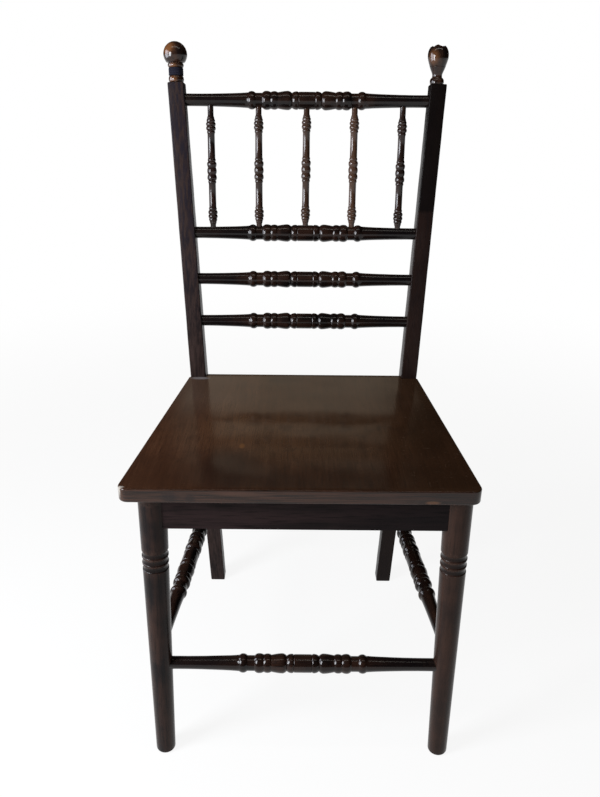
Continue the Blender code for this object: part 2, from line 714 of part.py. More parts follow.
# Spindles between the top rail and the spindle rail
top_setback = post_front(TOP_RAIL_HEIGHT) + RAIL_SETBACK
low_setback = post_front(SPINDLE_RAIL_HEIGHT) + RAIL_SETBACK
spindle_reach = (post_inner(TOP_RAIL_HEIGHT) + post_inner(SPINDLE_RAIL_HEIGHT)) / 2 - SPINDLE_SIDE_SPACE
for index, drop in enumerate(SPINDLE_DROPS):
    x = spindle_reach * (2 * index / (len(SPINDLE_DROPS) - 1) - 1)
    low = Vector((x, low_setback, SPINDLE_RAIL_HEIGHT))
    high = Vector((x, top_setback, TOP_RAIL_HEIGHT))
    rise = (high - low).normalized()
    low += rise * SPINDLE_END_CLEAR
    high -= rise * SPINDLE_END_CLEAR
    name = f"spindle_{index + 1}"
    profile = closed_profile(spindle_profile((high - low).length / 2), drop)
    mesh = turned_mesh(name, profile, SPINDLE_SIDES)
    add_piece(name, mesh, spindle_wood, (low + high) / 2 - rise * drop, rise)
    for rail, end, inward in (("spindle_rail", low, rise), ("top_rail", high, -rise)):
        bore(rails[rail], f"{name}_{rail}_hole", end, inward, BAR_VASE_RADIUS,
             SPINDLE_NECK_RADIUS, SPINDLE_SIDES)

# Stretchers between the legs
front_ends = {side: leg_point(side, FRONT_STRETCHER_HEIGHT) for _, side in SIDES}
add_bar("front_stretcher", front_ends[-1], front_ends[1], bar_profile, turned_wood)
back_inner = post_inner(BACK_STRETCHER_HEIGHT) + BAR_TENON_DEPTH
back_setback = post_centre(1, BACK_STRETCHER_HEIGHT).y
back_ends = {side: Vector((side * back_inner, back_setback, BACK_STRETCHER_HEIGHT)) for _, side in SIDES}
add_bar("back_stretcher", back_ends[-1], back_ends[1], plain_bar_profile, turned_wood)
for word, side in SIDES:
    bore(legs[side], f"front_stretcher_socket_{side}", front_ends[side], (-side, 0, 0),
         LEG_TOP_RADIUS * 2, BAR_END_RADIUS, BAR_SIDES)
    bore(posts[side], f"back_stretcher_socket_{side}", back_ends[side], (-side, 0, 0),
         BAR_TENON_DEPTH * 2, BAR_END_RADIUS, BAR_SIDES)
    start = leg_point(side, SIDE_STRETCHER_HEIGHT)
    end = post_centre(side, SIDE_STRETCHER_HEIGHT)
    end.y = post_front(SIDE_STRETCHER_HEIGHT) + BAR_TENON_DEPTH
    name = f"{word}_side_stretcher"
    add_bar(name, start, end, bar_profile, turned_wood)
    bore(legs[side], name + "_front_socket", start, end - start, LEG_TOP_RADIUS * 2,
         BAR_END_RADIUS, BAR_SIDES)
    bore(posts[side], name + "_rear_socket", end, start - end, BAR_TENON_DEPTH * 2,
         BAR_END_RADIUS, BAR_SIDES)

# Aprons, coped round the front legs and butted on the posts
leg_top = {side: leg_point(side, (APRON_BOTTOM + APRON_TOP) / 2) for _, side in SIDES}
post_top = {side: post_centre(side, (APRON_BOTTOM + APRON_TOP) / 2) for _, side in SIDES}
front_line = APRON_FACE_SETBACK + APRON_THICKNESS / 2
front_span = [(leg_top[side].x, front_line) for _, side in SIDES]
outline = strip_outline(*front_span, APRON_THICKNESS)
mesh = prism_mesh("front_apron", outline, APRON_BOTTOM, APRON_TOP)
front_apron = add_piece("front_apron", mesh, apron_wood)
back_line = SEAT_DEPTH - BACK_APRON_INSET - BACK_APRON_THICKNESS / 2
back_reach = min(post_inner(APRON_BOTTOM), post_inner(APRON_TOP)) - FIT_GAP
outline = strip_outline((-back_reach, back_line), (back_reach, back_line), BACK_APRON_THICKNESS)
mesh = prism_mesh("back_apron", outline, APRON_BOTTOM, APRON_TOP)
back_apron = add_piece("back_apron", mesh, apron_wood)
back_tenon_line = SEAT_DEPTH - BACK_APRON_INSET - BACK_TENON_THICKNESS / 2 - FIT_GAP
side_aprons = {}
for word, side in SIDES:
    combine(front_apron, leg_spaces[side], "DIFFERENCE")
    into_leg = LEG_TOP_RADIUS - APRON_TENON_DEPTH
    shoulder = (side * (abs(leg_top[side].x) - LEG_TOP_RADIUS - APRON_TENON_DEPTH), front_line)
    tip = (side * (abs(leg_top[side].x) - into_leg), front_line)
    mortise_and_tenon(front_apron, legs[side], f"front_apron_{word}", shoulder, tip,
                      APRON_TENON_THICKNESS)
    shoulder = (side * (back_reach - APRON_TENON_DEPTH), back_tenon_line)
    tip = (side * (back_reach + APRON_TENON_DEPTH), back_tenon_line)
    mortise_and_tenon(back_apron, posts[side], f"back_apron_{word}", shoulder, tip,
                      BACK_TENON_THICKNESS)
    name = f"{word}_side_apron"
    start = leg_top[side].xy
    end = post_top[side].xy
    run = (end - start).normalized()
    mesh = prism_mesh(name, strip_outline(start, end, APRON_THICKNESS), APRON_BOTTOM, APRON_TOP)
    apron = add_piece(name, mesh, apron_wood)
    side_aprons[side] = (apron, start, run)
    combine(apron, leg_spaces[side], "DIFFERENCE")
    combine(apron, post_spaces[side], "DIFFERENCE")
    shoulder = start + run * (LEG_TOP_RADIUS + APRON_TENON_DEPTH)
    tip = start + run * into_leg
    mortise_and_tenon(apron, legs[side], name + "_front", shoulder, tip, APRON_TENON_THICKNESS)
    to_face = (post_front(APRON_TOP) - start.y) / run.y
    shoulder = start + run * (to_face - APRON_TENON_DEPTH)
    tip = start + run * (to_face + APRON_TENON_DEPTH)
    mortise_and_tenon(apron, posts[side], name + "_rear", shoulder, tip, APRON_TENON_THICKNESS)

# Finials on the posts, doweled in along the lean of the post
dowel = FINIAL_DOWEL_LENGTH
left_finial_mesh = turned_mesh("left_finial", ball_profile(), FINIAL_SIDES)
knob = turned_bmesh(egg_profile(), FINIAL_SIDES)
trim(knob, (0.0, 0.0, RIGHT_BREAK_HEIGHT), RIGHT_BREAK_SLOPE)
right_finial_mesh = finish_mesh("right_finial", knob, smooth=True)
finial_seats = {}
for word, side, mesh, outward in (
    ("left", -1, left_finial_mesh, LEFT_FINIAL_LEAN),
    ("right", 1, right_finial_mesh, RIGHT_FINIAL_LEAN),
):
    lean = Vector((side * outward, math.tan(POST_RAKE), 1.0)).normalized()
    # A finial that leans less than its post stands on one side of its foot
    lift = FINIAL_BASE_RADIUS * (math.tan(POST_SPLAY) - outward)
    foot = post_centre(side, POST_HEIGHT) + lean * lift
    finial_seats[side] = (foot, lean)
    add_piece(f"{word}_finial", mesh, finial_wood, foot, lean)
    bore(posts[side], f"{word}_finial_hole", foot - lean * dowel, lean, dowel * 2,
         FINIAL_DOWEL_RADIUS, FINIAL_SIDES)

# Tape round the left finial's neck
low = FINIAL_BASE_HEIGHT + 2 * FIT_GAP
high = FINIAL_NECK_TOP - FIT_GAP
bore_radius = FINIAL_NECK_RADIUS + FIT_GAP
tape_profile = [
    (low, bore_radius),
    (low, TAPE_RADIUS - TAPE_EDGE),
    (low + TAPE_EDGE, TAPE_RADIUS),
    (high - TAPE_EDGE, TAPE_RADIUS),
    (high, TAPE_RADIUS - TAPE_EDGE),
    (high, bore_radius),
]
mesh = turned_mesh("neck_tape", tape_profile, FINIAL_SIDES, ring=True)
add_piece("neck_tape", mesh, tape_cloth, *finial_seats[-1])

# Corner blocks and their screws
screw_top = SEAT_UNDERSIDE + SCREW_BITE
screw_base = APRON_TOP - BLOCK_DEPTH
front_back_face = APRON_FACE_SETBACK + APRON_THICKNESS + FIT_GAP
back_front_face = SEAT_DEPTH - BACK_APRON_INSET - BACK_APRON_THICKNESS - FIT_GAP


def screw_profile(grow):
    """A countersunk screw from its head upwards, or the hole for it."""
    return [
        (-grow, 0.0),
        (-grow, SCREW_HEAD_RADIUS + grow),
        (SCREW_HEAD_DEPTH, SCREW_SHANK_RADIUS + grow),
        (BLOCK_DEPTH + SCREW_BITE + grow, SCREW_SHANK_RADIUS + grow),
        (BLOCK_DEPTH + SCREW_BITE + grow, 0.0),
    ]


for word, side in SIDES:
    apron, start, run = side_aprons[side]
    inward = Vector((-side * run.y, side * run.x)) * (APRON_THICKNESS / 2 + FIT_GAP)

    def on_side_apron(setback):
        """Point on the inner face of the side apron at a distance behind the seat's front."""
        face = start + inward
        return face + run * (setback - face.y) / run.y

    leg = leg_top[side]
    front_outline = [
        Vector((leg.x - side * BLOCK_LEG_CLEAR, front_back_face)),
        on_side_apron(leg.y + BLOCK_LEG_CLEAR),
        on_side_apron(leg.y + BLOCK_LEG_CLEAR + BLOCK_FRONT_REACH),
        Vector((leg.x - side * (BLOCK_LEG_CLEAR + BLOCK_FRONT_REACH), front_back_face)),
    ]
    corner = side * (back_reach - BLOCK_REAR_START)
    rear_outline = [
        Vector((corner, back_front_face)),
        on_side_apron(back_front_face - BLOCK_REAR_START),
        on_side_apron(back_front_face - BLOCK_REAR_START - BLOCK_REAR_REACH),
        Vector((corner - side * BLOCK_REAR_REACH, back_front_face)),
    ]
    for place, outline in (("front", front_outline), ("back", rear_outline)):
        name = f"{place}_{word}_corner_block"
        mesh = prism_mesh(name, outline, screw_base, APRON_TOP)
        block = add_piece(name, mesh, block_wood)
        middle = sum(outline, Vector((0.0, 0.0))) / len(outline)
        hole = turned_mesh(name + "_hole", screw_profile(FIT_GAP), SCREW_SIDES)
        hole = add_guide(name + "_hole", hole, (middle.x, middle.y, screw_base))
        combine(block, hole, "DIFFERENCE")
        combine(seat, hole, "DIFFERENCE")
        mesh = turned_mesh(f"{place}_{word}_screw", screw_profile(0.0), SCREW_SIDES)
        add_piece(f"{place}_{word}_screw", mesh, screw_steel, (middle.x, middle.y, screw_base))

# The empty stands the chair's box on the floor, centred on the origin
foot, lean = finial_seats[-1]
rearmost = (foot + lean * LEFT_BALL_HEIGHT).y + LEFT_BALL_RADIUS
chair.location = ((SEAT_FRONT_LEFT - SEAT_FRONT_RIGHT) / 2, -rearmost / 2, 0.0)
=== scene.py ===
"""Worn spindle-back side chair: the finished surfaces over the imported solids.

Lengths are in metres, +Z is up and the chair faces -Y. Each section makes one piece or one
group of like pieces, in the order in which the chair goes together. Colours are linear.
"""
import json
import math

import bmesh
import bpy
from mathutils import Matrix, Vector, noise

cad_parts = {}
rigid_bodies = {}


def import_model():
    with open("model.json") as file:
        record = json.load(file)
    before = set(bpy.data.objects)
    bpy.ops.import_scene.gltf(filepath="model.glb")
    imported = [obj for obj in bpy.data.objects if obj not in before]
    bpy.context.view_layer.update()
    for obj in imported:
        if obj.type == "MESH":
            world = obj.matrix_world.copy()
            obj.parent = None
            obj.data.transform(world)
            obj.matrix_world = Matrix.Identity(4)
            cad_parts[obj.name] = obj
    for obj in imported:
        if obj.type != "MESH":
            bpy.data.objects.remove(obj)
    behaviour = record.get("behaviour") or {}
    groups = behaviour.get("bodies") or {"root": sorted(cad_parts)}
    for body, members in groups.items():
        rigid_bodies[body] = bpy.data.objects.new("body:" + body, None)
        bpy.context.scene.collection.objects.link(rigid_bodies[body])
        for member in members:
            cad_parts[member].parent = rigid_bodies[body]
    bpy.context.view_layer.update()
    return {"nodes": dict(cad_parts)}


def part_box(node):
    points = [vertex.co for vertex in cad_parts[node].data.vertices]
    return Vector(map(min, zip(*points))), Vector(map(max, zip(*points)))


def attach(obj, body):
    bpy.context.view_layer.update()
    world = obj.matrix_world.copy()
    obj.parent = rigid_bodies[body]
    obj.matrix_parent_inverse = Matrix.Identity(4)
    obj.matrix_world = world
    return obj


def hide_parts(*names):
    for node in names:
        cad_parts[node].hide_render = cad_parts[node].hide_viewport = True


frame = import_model()

# Front legs
# Each leg is one length of hardwood turned on a lathe: a slow taper, three coves cut close
# together under the seat, and a foot with its edge rounded by wear. The stain is dark, with
# redder wood where the varnish has thinned.
LEG_FOOT_RADIUS = 0.0137
LEG_TOP_RADIUS = 0.0182
LEG_ROUNDING = 0.004
COVES = 3
COVE_FIRST = 0.3235
COVE_PITCH = 0.0103
COVE_HALF_WIDTH = 0.0043
COVE_DEPTH = 0.0015
# How finely the foot, the taper, each cove and the run above them are turned
FOOT_STEPS = 6
TAPER_STEPS = 24
COVE_STEPS = 8
SHOULDER_STEPS = 6
TURNING_STEPS = 64
SHARP_ANGLE = math.radians(40.0)
# How far from a turned node's end its end face reaches
END_FACE = 0.0015


class Reading:
    """A value inside a material: Python's operators add its Math nodes."""

    def __init__(self, socket):
        self.socket = socket

    def maths(self, operation, first, second):
        node = self.socket.id_data.nodes.new("ShaderNodeMath")
        node.operation = operation
        feed(node.inputs[0], first)
        feed(node.inputs[1], second)
        return Reading(node.outputs[0])

    def __add__(self, other):
        return self.maths("ADD", self, other)

    def __radd__(self, other):
        return self.maths("ADD", other, self)

    def __sub__(self, other):
        return self.maths("SUBTRACT", self, other)

    def __rsub__(self, other):
        return self.maths("SUBTRACT", other, self)

    def __mul__(self, other):
        return self.maths("MULTIPLY", self, other)

    def __rmul__(self, other):
        return self.maths("MULTIPLY", other, self)


def feed(socket, value):
    """Link a reading to a socket, or write a plain value there."""
    if isinstance(value, Reading):
        socket.id_data.links.new(value.socket, socket)
    else:
        socket.default_value = value


class Nodes:
    """The nodes of one material, or of the sky."""

    def __init__(self, tree):
        self.tree = tree

    def node(self, kind, settings=None, inputs=None, output=0):
        """Add a node: its settings first, then its inputs, and read one output."""
        node = self.tree.nodes.new(kind)
        for key, value in (settings or {}).items():
            setattr(node, key, value)
        for key, value in (inputs or {}).items():
            feed(node.inputs[key], value)
        return Reading(node.outputs[output])

    def between(self, reading, low, high):
        """0 below low, 1 above high, and a soft step between."""
        return self.node(
            "ShaderNodeMapRange",
            settings={"interpolation_type": "SMOOTHSTEP"},
            inputs={"Value": reading, "From Min": low, "From Max": high},
        )

    def mixed(self, amount, first, second):
        """Two colours mixed by an amount."""
        return self.node(
            "ShaderNodeMix",
            settings={"data_type": "RGBA"},
            inputs={0: amount, 6: first, 7: second},
            output=2,
        )


class Finish(Nodes):
    """A material for one kind of surface on the chair."""

    def __init__(self, name, roughness=0.5, gloss=0.5, metal=0.0):
        self.material = bpy.data.materials.new(name)
        self.material.use_nodes = True
        super().__init__(self.material.node_tree)
        self.shader = self.tree.nodes["Principled BSDF"]
        self.shader.inputs["Roughness"].default_value = roughness
        self.shader.inputs["Specular IOR Level"].default_value = gloss
        self.shader.inputs["Metallic"].default_value = metal
        self.place = self.node("ShaderNodeTexCoord", output="Object")

    def clouds(self, scale, detail=3.0, roughness=0.55):
        """Soft noise from 0 to 1, as fine as its scale along each direction."""
        stretched = self.node(
            "ShaderNodeMapping", inputs={"Vector": self.place, "Scale": scale}
        )
        return self.node(
            "ShaderNodeTexNoise",
            inputs={
                "Vector": stretched,
                "Scale": 1.0,
                "Detail": detail,
                "Roughness": roughness,
            },
        )

    def measure(self, axis):
        """How far a point lies along the chair's X, Y or Z, in metres."""
        return self.node("ShaderNodeSeparateXYZ", inputs={0: self.place}, output=axis)

    def spot(self, centre, reach):
        """1 at a place on the chair, falling to 0 over its reach in each direction."""
        offset = self.node(
            "ShaderNodeVectorMath",
            settings={"operation": "SUBTRACT"},
            inputs={0: self.place, 1: centre},
        )
        scaled = self.node(
            "ShaderNodeVectorMath",
            settings={"operation": "DIVIDE"},
            inputs={0: offset, 1: reach},
        )
        length = self.node(
            "ShaderNodeVectorMath",
            settings={"operation": "LENGTH"},
            inputs={0: scaled},
            output="Value",
        )
        return 1.0 - self.between(length, 0.35, 1.0)

    def crest(self):
        """1 where the surface stands proud and gets rubbed, 0.5 on flats, 0 in grooves."""
        return self.node("ShaderNodeNewGeometry", output="Pointiness")

    def colour(self, value):
        """The colour of the whole surface."""
        feed(self.shader.inputs["Base Color"], value)

    def tint(self, amount, colour):
        """Lay another colour over the stain where the amount is high."""
        self.stain = self.mixed(amount, self.stain, colour)
        self.colour(self.stain)

    def patch(self, centre, reach, amount, colour):
        """Lay another colour over the stain round one place."""
        self.tint(self.spot(centre, reach) * amount, colour)

    def sheen(self, value):
        """How rough the surface is, from 0 for a mirror to 1 for chalk."""
        feed(self.shader.inputs["Roughness"], value)

    def relief(self, height, depth):
        """Bump from a height of 0 to 1, as deep as given in metres."""
        bump = self.node(
            "ShaderNodeBump",
            inputs={"Strength": 1.0, "Distance": depth, "Height": height},
        )
        feed(self.shader.inputs["Normal"], bump)


def tone(red, green, blue):
    """A colour as the shader takes it."""
    return (red, green, blue, 1.0)


def varnished(
    name, along, dark, mid, rubbed,
    roughness=0.3, gloss=0.13, mottle=22.0, wear=0.6, depth=0.0004,
):
    """Old stained varnish over grain that runs along one axis: 0, 1 or 2."""
    finish = Finish(name, roughness, gloss)
    fine = [620.0, 620.0, 620.0]
    fine[along] = 26.0
    broad = [90.0, 90.0, 90.0]
    broad[along] = 7.0
    grain = finish.clouds(fine, detail=4.0)
    bands = finish.clouds(broad, detail=3.0)
    patches = finish.clouds((mottle, mottle, mottle), detail=4.0)
    thin = finish.between(bands * 0.5 + patches * 0.5, 0.38, 0.62)
    stain = finish.mixed(thin, dark, mid)
    pores = finish.between(grain, 0.50, 0.32)
    stain = finish.mixed(pores * 0.75, stain, tone(0.003, 0.002, 0.002))
    scuffs = finish.clouds((260.0, 260.0, 260.0), detail=5.0)
    edge = finish.between(finish.crest() + (scuffs - 0.5) * 0.12, 0.53, 0.60)
    finish.stain = finish.mixed(edge * wear, stain, rubbed)
    finish.colour(finish.stain)
    finish.sheen(roughness + ((patches - 0.5) * 0.8 + pores * 0.3) * roughness)
    finish.height = grain * 0.5 + bands * 0.25 + patches * 0.25
    finish.relief(finish.height, depth)
    return finish


def finish_mesh(name, bm, finish):
    """Turn a bmesh into a piece that rides with the chair."""
    bmesh.ops.remove_doubles(bm, verts=bm.verts, dist=1e-6)
    bmesh.ops.recalc_face_normals(bm, faces=bm.faces)
    mesh = bpy.data.meshes.new(name)
    bm.to_mesh(mesh)
    bm.free()
    mesh.shade_smooth()
    mesh.set_sharp_from_angle(angle=SHARP_ANGLE)
    mesh.materials.append(finish.material)
    piece = bpy.data.objects.new(name, mesh)
    bpy.context.collection.objects.link(piece)
    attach(piece, "root")
    return piece


def axis_ends(node, along):
    """Both ends of a turned node's axis, from the middles of its end faces."""
    corners = [Vector(vert.co) for vert in frame["nodes"][node].data.vertices]
    ends = []
    for choose in (min, max):
        limit = choose(corner[along] for corner in corners)
        cap = [corner for corner in corners if abs(corner[along] - limit) < END_FACE]
        low = Vector([min(corner[axis] for corner in cap) for axis in range(3)])
        high = Vector([max(corner[axis] for corner in cap) for axis in range(3)])
        ends.append((low + high) / 2)
    return ends


def turned(profile, start, direction):
    """Spin (distance, radius) points round an axis that starts at a point."""
    bm = bmesh.new()
    points = [bm.verts.new((radius, 0.0, distance)) for distance, radius in profile]
    edges = [bm.edges.new(pair) for pair in zip(points, points[1:])]
    bmesh.ops.spin(
        bm, geom=points + edges, cent=(0, 0, 0), axis=(0, 0, 1),
        angle=math.tau, steps=TURNING_STEPS, use_merge=True,
    )
    stand = Matrix.Translation(start) @ direction.to_track_quat("Z", "Y").to_matrix().to_4x4()
    bmesh.ops.transform(bm, matrix=stand, verts=bm.verts)
    return bm


def leg_radius(distance, length):
    """The plain taper of a leg, at a distance from its foot."""
    return LEG_FOOT_RADIUS + (LEG_TOP_RADIUS - LEG_FOOT_RADIUS) * distance / length


def leg_profile(length):
    """A leg from its rounded foot to its square-cut top."""
    profile = [(-LEG_ROUNDING, 0.0), (-LEG_ROUNDING, LEG_FOOT_RADIUS - LEG_ROUNDING)]
    for step in range(FOOT_STEPS + 1):
        angle = math.pi / 2 * step / FOOT_STEPS
        radius = leg_radius(LEG_ROUNDING, length) - LEG_ROUNDING * (1 - math.sin(angle))
        profile.append((LEG_ROUNDING * (1 - math.cos(angle)), radius))
    for step in range(1, TAPER_STEPS):
        place = COVE_FIRST * step / TAPER_STEPS
        profile.append((place, leg_radius(place, length)))
    for index in range(COVES):
        middle = COVE_FIRST + index * COVE_PITCH
        for step in range(COVE_STEPS + 1):
            turn = math.pi * step / COVE_STEPS
            place = middle - COVE_HALF_WIDTH * math.cos(turn)
            profile.append((place, leg_radius(place, length) - COVE_DEPTH * math.sin(turn)))
    shoulder = middle + COVE_HALF_WIDTH
    for step in range(1, SHOULDER_STEPS + 1):
        place = shoulder + (length - shoulder) * step / SHOULDER_STEPS
        profile.append((place, leg_radius(place, length)))
    profile.append((length, 0.0))
    return profile


leg_finish = varnished(
    "leg_varnish", 2, dark=tone(0.006, 0.0045, 0.005), mid=tone(0.027, 0.0135, 0.010),
    rubbed=tone(0.070, 0.042, 0.032), roughness=0.24, gloss=0.11, depth=0.00018,
)
# The right leg is a little redder, and painted shade darkens the coves of both
right_leg = leg_finish.between(leg_finish.measure("X"), 0.0, 0.01)
leg_finish.tint(right_leg * 0.25, tone(0.050, 0.024, 0.015))
# Painted shade: a near-black band in each of the three coves
for index in range(COVES):
    cove = (0.0, -0.2, COVE_FIRST + index * COVE_PITCH)
    leg_finish.patch(cove, (1.0, 1.0, COVE_HALF_WIDTH), 0.7, tone(0.004, 0.003, 0.003))
# Pale nicks in the left leg
for nick in ((-0.1957, -0.205, 0.1128), (-0.1968, -0.205, 0.0764), (-0.1890, -0.205, 0.3700)):
    leg_finish.patch(nick, (0.0022, 0.02, 0.0030), 0.8, tone(0.22, 0.20, 0.18))
for side in ("left", "right"):
    node = f"{side}_front_leg"
    foot, top = axis_ends(node, 2)
    bm = turned(leg_profile((top - foot).length), foot, top - foot)
    bmesh.ops.bisect_plane(
        bm, geom=bm.verts[:] + bm.edges[:] + bm.faces[:], dist=1e-7,
        plane_co=(0, 0, 0), plane_no=(0, 0, -1), clear_outer=True,
    )
    open_rim = [edge for edge in bm.edges if edge.is_boundary]
    bmesh.ops.edgeloop_fill(bm, edges=open_rim)
    leg = finish_mesh(f"{side}_turned_leg", bm, leg_finish)
    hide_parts(node)

# Back posts
# Each post is sawn in one piece from a plank with a knee at the seat: a rear leg that kicks
# back below it and a raked upright above. The left upright carries a painted reflection, a
# bluish grey sheen laid between its grain streaks, and the right one is nearly black above the
# spindle rail.
POST_HEIGHT = 0.896
SEAT_HEIGHT = 0.450
KNEE_FRONT = 0.3713
FOOT_FRONT = 0.4175
RAKE = math.radians(7.33)
SPLAY = math.radians(2.49)
KNEE_HALF_SPAN = 0.1886
FOOT_HALF_SPAN = 0.1770
KNEE_EASE = 0.040
POST_WIDTHS = (0.0265, 0.0255, 0.0240)
POST_DEPTHS = (0.0260, 0.0300, 0.0245)
POST_EDGE = 0.0018
POST_STATIONS = 72
# How far the planed faces waver, and how fast across and along the post
POST_WAVER = 0.00022
WAVER_ACROSS = 90
WAVER_ALONG = 30

seat_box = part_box("seat_board")
rail_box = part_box("top_rail")
MIDDLE_X = (rail_box[0].x + rail_box[1].x) / 2
FRONT_Y = seat_box[0].y


def knee_line(height, at_knee, at_foot, slope):
    """A line that runs straight to the knee, bends over it, and runs straight again."""
    foot_slope = (at_knee - at_foot) / SEAT_HEIGHT
    offset = height - SEAT_HEIGHT
    eased = min(max(offset + KNEE_EASE, 0.0), 2 * KNEE_EASE) ** 2 / (4 * KNEE_EASE)
    eased += max(offset - KNEE_EASE, 0.0)
    return at_knee + foot_slope * offset + (slope - foot_slope) * eased


def post_size(height, sizes):
    """A width or depth of the post at a height, from its foot, knee and top."""
    foot, knee, top = sizes
    if height < SEAT_HEIGHT:
        return foot + (knee - foot) * height / SEAT_HEIGHT
    return knee + (top - knee) * (height - SEAT_HEIGHT) / (POST_HEIGHT - SEAT_HEIGHT)


def waver(x, y, height, start):
    """How far a planed face strays at a point, the same in every run."""
    place = Vector((start + x * WAVER_ACROSS, y * WAVER_ACROSS, height * WAVER_ALONG))
    return noise.noise(place) * POST_WAVER


def post_bmesh(side):
    """A squared blank with eased edges, bent to the line of the post."""
    bm = bmesh.new()
    bmesh.ops.create_cube(bm, size=1.0)
    blank = (POST_WIDTHS[1], POST_DEPTHS[1], POST_HEIGHT)
    bmesh.ops.scale(bm, vec=blank, verts=bm.verts)
    bmesh.ops.translate(bm, vec=(0.0, 0.0, POST_HEIGHT / 2), verts=bm.verts)
    bmesh.ops.bevel(
        bm, geom=bm.edges[:], offset=POST_EDGE, offset_type="OFFSET", affect="EDGES",
        segments=4, profile=0.5, material=-1,
    )
    for station in range(1, POST_STATIONS):
        bmesh.ops.bisect_plane(
            bm, geom=bm.verts[:] + bm.edges[:] + bm.faces[:], dist=1e-7,
            plane_co=(0, 0, POST_HEIGHT * station / POST_STATIONS), plane_no=(0, 0, 1),
        )
    for vert in bm.verts:
        height = vert.co.z
        width = post_size(height, POST_WIDTHS)
        depth = post_size(height, POST_DEPTHS)
        x = vert.co.x * width / blank[0]
        y = vert.co.y * depth / blank[1]
        if height > POST_HEIGHT / 2:
            square = (height - POST_HEIGHT / 2) / (POST_HEIGHT / 2)
            vert.co.z -= square * (y * math.tan(RAKE) + x * side * math.tan(SPLAY))
        outer = knee_line(height, KNEE_HALF_SPAN, FOOT_HALF_SPAN, math.tan(SPLAY))
        front = knee_line(height, KNEE_FRONT, FOOT_FRONT, math.tan(RAKE))
        stray_x = waver(x, y, height, side * 3.0)
        stray_y = waver(x, y, height, side * 8.5)
        vert.co.x = MIDDLE_X + side * (outer - width / 2) + x + stray_x
        vert.co.y = FRONT_Y + front + depth / 2 + y + stray_y
    return bm


post_finish = varnished(
    "post_varnish", 2, dark=tone(0.010, 0.007, 0.007), mid=tone(0.023, 0.014, 0.012),
    rubbed=tone(0.060, 0.042, 0.036), roughness=0.34, gloss=0.07, mottle=12.0, wear=0.5,
)
post_z = post_finish.measure("Z")
right_post = post_finish.between(post_finish.measure("X"), 0.0, 0.01)
left_post = 1.0 - right_post
upright = post_finish.between(post_z, 0.45, 0.80)
above_rail = post_finish.between(post_z, 0.712, 0.719)
below_knee = 1.0 - post_finish.between(post_z, 0.40, 0.45)
post_grain = post_finish.clouds((300.0, 300.0, 22.0), detail=5.0)
post_streaks = post_finish.between(post_grain, 0.40, 0.60)
post_finish.tint(left_post * post_streaks * 0.70, tone(0.032, 0.020, 0.018))
# Painted reflection: a bluish grey sheen on the left upright between its grain streaks
post_finish.tint(left_post * upright * (1.0 - post_streaks) * 0.6, tone(0.014, 0.012, 0.019))
post_finish.tint(right_post * post_streaks * 0.5, tone(0.020, 0.009, 0.007))
post_finish.tint(right_post * 0.45, tone(0.010, 0.005, 0.004))
post_finish.tint(right_post * above_rail * 0.80, tone(0.0025, 0.002, 0.002))
post_finish.tint(right_post * below_knee * 0.4, tone(0.006, 0.005, 0.005))
for word, side in (("left", -1), ("right", 1)):
    bm = post_bmesh(side)
    post = finish_mesh(f"{word}_planed_post", bm, post_finish)
    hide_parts(f"{word}_back_post")

# Turned rails and stretchers
# Four rails join the posts, and the front and side stretchers join the legs. All are turned
# to one pattern: a barrel in the middle, then a bead, a groove, a vase and beads on each
# side, and a long taper to the tenon. Dark dirt and old varnish have gathered in the grooves.
BAR_END = 0.00875
# The pattern's crests and valleys: distance from the bar's middle and radius
BAR_PATTERN = (
    (0.0000, 0.01235), (0.0113, 0.01230), (0.0125, 0.01160), (0.0153, 0.01290), (0.0224, 0.01045),
    (0.0290, 0.01345), (0.0437, 0.01135), (0.0489, 0.01295), (0.0541, 0.01160), (0.0609, 0.01330),
    (0.0672, 0.01050), (0.0772, 0.01050), (0.0830, 0.01290), (0.0884, 0.01095),
)
# How each run from a valley to a crest swells: 1 is straight, 2 and more is rounder
BEAD_SWELL = 2.2
VASE_SWELL = 1.5
VASE_RUN = 5
# The taper beyond the outer bead: distance from the bar's middle and radius
TAPER = (
    (0.0930, 0.0106), (0.1000, 0.0102), (0.1100, 0.0098), (0.1200, 0.0095), (0.1400, 0.0090),
    (0.1600, 0.00875),
)
# The back stretcher is a plain bar, a little thicker in its middle
PLAIN_MIDDLE = 0.0112
PLAIN_STEPS = 10


def swelling(points, swells, steps=7):
    """Join crests and valleys with runs that rise steeply from a valley and round off."""
    profile = [points[0]]
    for (start, first), (end, last), swell in zip(points, points[1:], swells):
        for step in range(1, steps + 1):
            share = step / steps
            if last > first:
                rise = 1 - (1 - share) ** swell
            else:
                rise = share**swell
            profile.append((start + (end - start) * share, first + (last - first) * rise))
    return profile


def bar_half(half_length):
    """Half of the pattern, from the bar's middle outwards."""
    swells = [BEAD_SWELL] * (len(BAR_PATTERN) - 1)
    swells[VASE_RUN] = VASE_SWELL
    half = swelling(BAR_PATTERN, swells)
    half += TAPER
    half.append((half_length, BAR_END))
    return half


def plain_half(half_length):
    """Half of a plain round bar, thickest in its middle."""
    half = []
    for step in range(PLAIN_STEPS + 1):
        share = step / PLAIN_STEPS
        half.append((half_length * share, PLAIN_MIDDLE + (BAR_END - PLAIN_MIDDLE) * share**2))
    return half


def both_ways(half, drop=0.0):
    """A whole profile from its outward half, closed on the axis at both ends.

    The pattern can sit lower than the piece's middle: then its upper end is longer.
    """
    end, radius = half[-1]
    inner = [(place - drop, size) for place, size in half[:-1]]
    lower = [(-place - drop, size) for place, size in reversed(half[:-1]) if place > 0.0]
    return [(-end, 0.0), (-end, radius)] + lower + inner + [(end, radius), (end, 0.0)]


